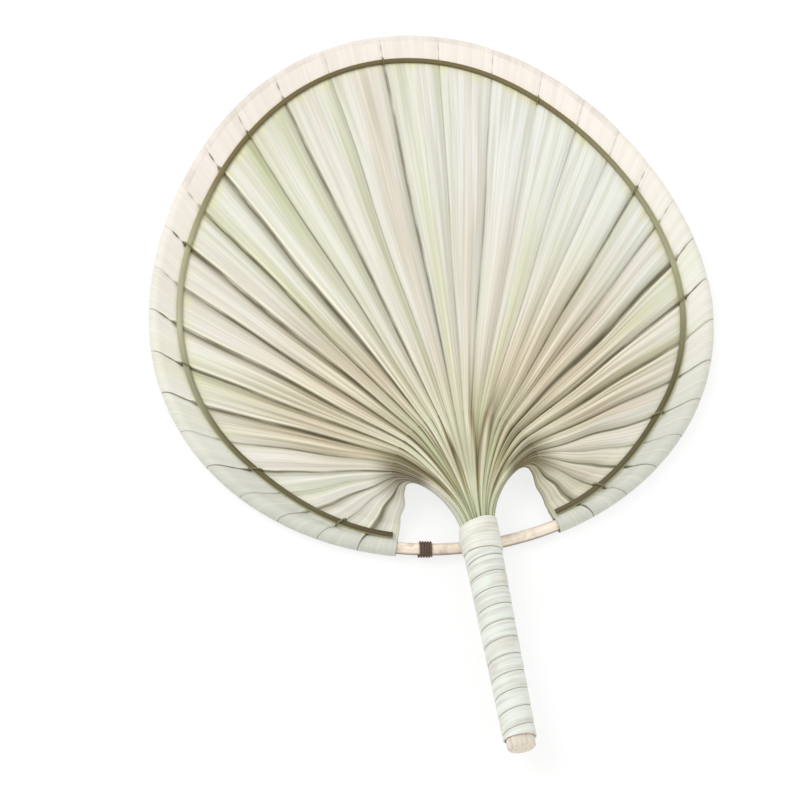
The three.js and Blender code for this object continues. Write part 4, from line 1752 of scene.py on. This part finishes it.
@dataclass
class Handle:
    """The stalk, its winding, the collar and the cord on the hoop's joint."""

    outline: Outline
    hoop: RimHoop
    butt_y: float = -100 * MM
    stalk_end_y: float = -4.5 * MM
    stalk_sides: int = 48
    stalk_steps: int = 24
    stalk_uneven_share: float = 0.012
    butt_radius: float = 5.9 * MM
    butt_rounding: float = 1.4 * MM
    butt_steps: int = 6
    # How deep the slightly hollow sawn end lies, at shares of its flat radius
    butt_hollow: tuple[tuple[float, float], ...] = ((0.25 * MM, 0.45), (0.02 * MM, 0.8), (0.0, 1.0))
    bare_length: float = 4.5 * MM
    strip_thickness: float = 0.55 * MM
    strip_turns: int = 11
    strip_gap: float = 0.14 * MM
    strip_steps: int = 56
    strip_cup: float = 0.15 * MM
    # Half of the strip's section: shares of its thickness, of the cup taken off it, and of half its width
    strip_half_section: tuple[tuple[float, float, float], ...] = (
        (0.0, 0.0, 0.94),
        (0.3, 0.0, 1.0),
        (1.0, 1.0, 0.95),
        (1.0, 0.4, 0.8),
        (1.0, 0.0, 0.35),
    )
    collar_start_y: float = -13 * MM
    collar_end_y: float = 1.9 * MM
    collar_wall: float = 0.7 * MM
    collar_slant: float = 2.6 * MM
    collar_full_below: float = 3.2 * MM
    collar_squareness: float = 4.0
    collar_rows: int = 37
    collar_columns: int = 145
    lap_start: float = 0.35  # angle of the lapped end at the collar's lower edge
    lap_drift: float = 1.25
    lap_from: float = 1.15 * math.pi  # angle past the lapped end from which the strip lies double
    lap_lift: float = 0.3 * MM
    edge_thinning: float = 0.12 * MM
    edge_power: int = 8  # how near its edges the strip gets thinner
    passage_clearance: float = 0.2 * MM
    passage_steps: int = 6
    passage_step: float = math.radians(1.3)
    passage_sides: int = 26
    cut_merge: float = 0.03 * MM  # slivers that the passage's cut leaves are merged
    cut_flat: float = 0.01 * MM
    cord_diameter: float = 0.95 * MM
    cord_clearance: float = 0.12 * MM
    cord_pitch: float = 1.12 * MM
    cord_turns: int = 5
    cord_steps: int = 28
    cord_sides: int = 10
    neck_reach: float = 7.45 * MM

    def stalk_radius(self, y: float) -> float:
        """The stalk's radius, which grows from the butt to the collar."""
        share = (y - self.butt_y) / (self.collar_start_y - self.butt_y)
        return blend(self.butt_radius, self.outline.stalk_top_radius, min(max(share, 0.0), 1.0))

    def stalk(self) -> bpy.types.Object:
        """Builds the stalk, its sawn end rounded at the edge.

        Returns:
            The stalk.
        """
        flat = self.butt_radius - self.butt_rounding
        stops = [(self.butt_y + depth, flat * share) for depth, share in self.butt_hollow]
        for step in range(1, self.butt_steps + 1):
            turn = math.pi / 2 * step / self.butt_steps
            y = self.butt_y + self.butt_rounding * (1 - math.cos(turn))
            stops.append((y, flat + self.butt_rounding * math.sin(turn)))
        rounding_end = stops[-1][0]
        for step in range(1, self.stalk_steps + 1):
            y = blend(rounding_end, self.collar_start_y, step / self.stalk_steps)
            stops.append((y, self.stalk_radius(y)))
        stops.append((self.stalk_end_y, self.outline.stalk_top_radius))
        loops = []
        for y, radius in stops:
            loop = []
            for side in range(self.stalk_sides):
                turn = 2 * math.pi * side / self.stalk_sides
                reach = radius * (1 + self.stalk_uneven_share * (math.sin(3 * turn + 1) - 1))
                x, z = reach * math.cos(turn), reach * math.sin(turn)
                loop.append(Vector((x, y, self.outline.handle_z + z)))
            loops.append(loop)
        return pull_along("stalk_core", loops)

    def winding(self) -> bpy.types.Object:
        """Builds the strip wound round the stalk, both ends trimmed square to it.

        Returns:
            The strip.
        """
        start = self.butt_y + self.bare_length
        end = self.collar_start_y - self.outline.clearance
        pitch = (end - start) / self.strip_turns
        half = (pitch - self.strip_gap) / 2
        top, cup = self.strip_thickness, self.strip_cup
        edge = [(top * out - cup * off, half * along) for out, off, along in self.strip_half_section]
        section = [*((out, -along) for out, along in edge), *edge[::-1]]
        count = (self.strip_turns + 1) * self.strip_steps
        loops = []
        for step in range(count + 1):
            y = blend(start - pitch / 2, end + pitch / 2, step / count)
            turn = 2 * math.pi * step / self.strip_steps
            radial = Vector((-math.sin(turn), 0.0, -math.cos(turn)))
            inner = self.stalk_radius(y) + self.outline.clearance
            z = self.outline.handle_z
            loops.append([Vector((0, y + along, z)) + radial * (inner + out) for out, along in section])
        piece = pull_along("wound_strip", loops)
        with editing(piece):
            for at, way in ((start, -1.0), (end, 1.0)):
                bpy.ops.mesh.select_all(action="SELECT")
                plane = {"plane_co": (0.0, at, 0.0), "plane_no": (0.0, way, 0.0)}
                bpy.ops.mesh.bisect(**plane, use_fill=True, clear_outer=True)
        return piece

    def collar_radius(self, y: float, turn: float) -> tuple[float, float]:
        """The inner face of the collar.

        Args:
            y: Place along the handle.
            turn: Angle round it, from +X towards +Z.

        Returns:
            The x and z of the face's point, z from the handle's axis.
        """
        outline = self.outline
        hoop_y = outline.foot_y
        end = hoop_y - self.collar_start_y if y < hoop_y else self.collar_end_y - hoop_y
        share = (abs(y - hoop_y) - self.collar_full_below) / (end - self.collar_full_below)
        share = min(max(share, 0.0), 1.0)
        along = (y - self.collar_start_y) / (self.collar_end_y - self.collar_start_y)
        inner = blend(outline.stalk_top_radius, self.neck_reach, along) + outline.clearance
        depth = blend(outline.handle_z + outline.hoop_radius + outline.clearance, inner, share)
        power = 2 / blend(self.collar_squareness, 2.0, share)
        x, z = math.cos(turn), math.sin(turn)
        if z >= 0:
            return inner * x, inner * z
        return inner * math.copysign(abs(x) ** power, x), -depth * abs(z) ** power

    def collar(self) -> bpy.types.Object:
        """Builds the broad strip bound round stalk, leaf base and hoop, with its end lapped over.

        Returns:
            The collar.
        """
        rows, columns = self.collar_rows, self.collar_columns
        points = np.zeros((rows, columns, 3))
        run = np.zeros((rows, columns, 2))
        for row in range(rows):
            along = row / (rows - 1)
            edge = self.edge_thinning * (2 * along - 1) ** self.edge_power
            for column in range(columns):
                turn = 2 * math.pi * column / (columns - 1)
                slant = self.collar_slant * (1 - math.cos(turn)) / 2
                y = blend(self.collar_start_y, self.collar_end_y - slant, along)
                x, z = self.collar_radius(y, turn)
                away = Vector((x, 0.0, z)).normalized()
                wound = (turn - self.lap_start - self.lap_drift * along) % (2 * math.pi)
                lift = self.lap_lift if wound > self.lap_from and z > 0 else 0.0
                out = away * (self.collar_wall / 2 + lift - edge)
                points[row, column] = Vector((x, y, self.outline.handle_z + z)) + out
                run[row, column] = (turn * self.outline.stalk_top_radius, along)
        piece = lay_sheet("bound_collar", points, {"run": run})
        with editing(piece):
            bpy.ops.mesh.remove_doubles(threshold=SAME_POINT)
            bpy.ops.mesh.normals_make_consistent(inside=False)
        thicken(piece, self.collar_wall)
        apply_all(piece)
        rod = self.hoop_passage()
        cut = piece.modifiers.new("hoop_passage", "BOOLEAN")
        cut.operation = "DIFFERENCE"
        cut.solver = "EXACT"
        cut.object = rod
        apply_all(piece)
        bpy.data.objects.remove(rod)
        with editing(piece):
            bpy.ops.mesh.remove_doubles(threshold=self.cut_merge)
            bpy.ops.mesh.dissolve_degenerate(threshold=self.cut_flat)
            bpy.ops.mesh.delete_loose()
        return piece

    def hoop_passage(self) -> bpy.types.Object:
        """Builds the way of the hoop through the collar.

        Returns:
            A rod a little wider than the hoop.
        """
        outline = self.outline
        radius = outline.hoop_radius + self.passage_clearance
        steps = range(-self.passage_steps, self.passage_steps + 1)
        angles = [math.pi + self.passage_step * step for step in steps]
        loops = [outline.hoop_loop(angle, radius, self.passage_sides) for angle in angles]
        return pull_along("passage", loops)

    def joint_cord(self) -> bpy.types.Object:
        """Builds the cord wound on the hoop's joint.

        Returns:
            The cord.
        """
        outline, splice = self.outline, self.hoop.splice
        tangent, normal = outline.hoop_tangent(splice), outline.hoop_normal(splice)
        length = self.cord_pitch * self.cord_turns
        radius = self.cord_diameter / 2
        path = outline.hoop_radius + self.cord_clearance + radius
        count = self.cord_turns * self.cord_steps
        loops = []
        for step in range(count + 1):
            turn = 2 * math.pi * step / self.cord_steps
            radial = normal * math.cos(turn) + UP * math.sin(turn)
            centre = outline.hoop_point(splice) + tangent * ((step / count - 0.5) * length) + radial * path
            loops.append(rounded_loop(centre, radial, tangent, radius, self.cord_sides))
        return pull_along("joint_cord", loops)

    def build(self) -> list[bpy.types.Object]:
        """Builds and dresses the handle's pieces.

        Returns:
            Stalk, winding, collar and cord.
        """
        return [
            settle(self.stalk(), ["stalk"], Slot.STALK, DRIED_STALK.build()),
            settle(self.winding(), ["handle_winding"], Slot.STRIP, WOUND_STRIP.build(), sharp_degrees=55),
            settle(self.collar(), ["collar_binding"], Slot.COLLAR, BROAD_STRIP.build()),
            settle(self.joint_cord(), ["hoop_binding"], Slot.CORD, WAXED_CORD.build()),
        ]


# Studio


@dataclass
class Studio:
    """The floor, the light and the camera."""

    floor_half: float = 3.0
    floor_z: float = -0.1 * MM
    floor_roll: tuple[float, float, float] = (0.0, 0.6, 1.2)
    camera_at: tuple[float, float, float] = (-0.0795, -0.3872, 0.6465)
    look_at: tuple[float, float, float] = (-0.0223, -0.0203, 0.0)
    lens: float = 72.6
    nearest: float = 10 * MM
    sky_strength: float = 0.76
    key_strength: float = 1.24
    key_from: tuple[float, float, float] = (-0.7, 0.5, 1.0)
    key_spread: float = math.radians(35)
    fill_strength: float = 0.54
    fill_from: tuple[float, float, float] = (0.8, -0.5, 0.9)
    fill_spread: float = math.radians(60)

    def floor(self) -> None:
        """Lays the paper floor with its far edge rolled up."""
        select_only()
        bpy.ops.mesh.primitive_plane_add(size=2 * self.floor_half, location=(0, 0, self.floor_z))
        floor = adopt("paper_floor")
        bpy.ops.object.transform_apply(location=True, rotation=True, scale=True)
        with editing(floor):
            bpy.ops.mesh.select_mode(type="EDGE")
            bpy.ops.mesh.select_all(action="DESELECT")
            shape = bmesh.from_edit_mesh(floor.data)
            for edge in shape.edges:
                edge.select = all(vertex.co.y > self.floor_half / 2 for vertex in edge.verts)
            shape.select_flush(True)
            bpy.ops.mesh.extrude_region_move(TRANSFORM_OT_translate={"value": self.floor_roll})
        floor.data.materials.append(PaperFloor().build())

    def sky(self) -> None:
        """Sets an even white surround that shows as white behind the floor."""
        world = bpy.data.worlds.new("white_surround")
        bpy.context.scene.world = world
        world.use_nodes = True
        tree = world.node_tree
        tree.nodes.clear()
        lit = add_node(tree, "ShaderNodeBackground", {"Color": WHITE, "Strength": self.sky_strength})
        seen = add_node(tree, "ShaderNodeBackground", {"Color": WHITE, "Strength": 1.0})
        links = {"Fac": direct_rays(tree), 1: lit.outputs["Background"], 2: seen.outputs["Background"]}
        mix = add_node(tree, "ShaderNodeMixShader", links=links)
        add_node(tree, "ShaderNodeOutputWorld", links={"Surface": mix.outputs["Shader"]})

    def lamp(self, name: str, at: tuple[float, float, float], spread: float, strength: float) -> None:
        """Hangs a far soft lamp, which lights fan and floor evenly.

        Args:
            name: The lamp's name.
            at: The direction that it shines from.
            spread: The angle that it fills in the sky.
            strength: Its strength.
        """
        light = bpy.data.lights.new(name, "SUN")
        light.energy = strength
        light.angle = spread
        lamp = bpy.data.objects.new(name, light)
        bpy.context.scene.collection.objects.link(lamp)
        lamp.rotation_euler = (-Vector(at)).to_track_quat("-Z", "Y").to_euler()

    def camera(self) -> None:
        """Sets the camera at the photograph's viewing angle."""
        data = bpy.data.cameras.new("view")
        data.lens = self.lens
        data.clip_start = self.nearest
        camera = bpy.data.objects.new("view", data)
        bpy.context.scene.collection.objects.link(camera)
        camera.location = self.camera_at
        way = Vector(self.look_at) - Vector(self.camera_at)
        camera.rotation_euler = way.to_track_quat("-Z", "Y").to_euler()
        bpy.context.scene.camera = camera

    def build(self) -> None:
        """Sets up floor, light and camera."""
        self.floor()
        self.sky()
        self.lamp("key_light", self.key_from, self.key_spread, self.key_strength)
        self.lamp("fill_light", self.fill_from, self.fill_spread, self.fill_strength)
        self.camera()
        bpy.context.scene.view_settings.view_transform = "Standard"


def main() -> None:
    """Builds the fan piece by piece, then its studio."""
    logging.basicConfig(level=logging.INFO, format="%(name)s: %(message)s")
    outline = Outline()
    leaf = DriedPalmLeaf().build()
    blade = LeafBlade(outline)
    blade.build(leaf)
    LeafBase(outline, blade).build(leaf)
    hoop = RimHoop(outline)
    hoop.build()
    rings = SplintRings(outline)
    rings.build()
    RingStitches(outline, rings).build()
    Handle(outline, hoop).build()
    Studio().build()


if __name__ == "__main__":
    main()
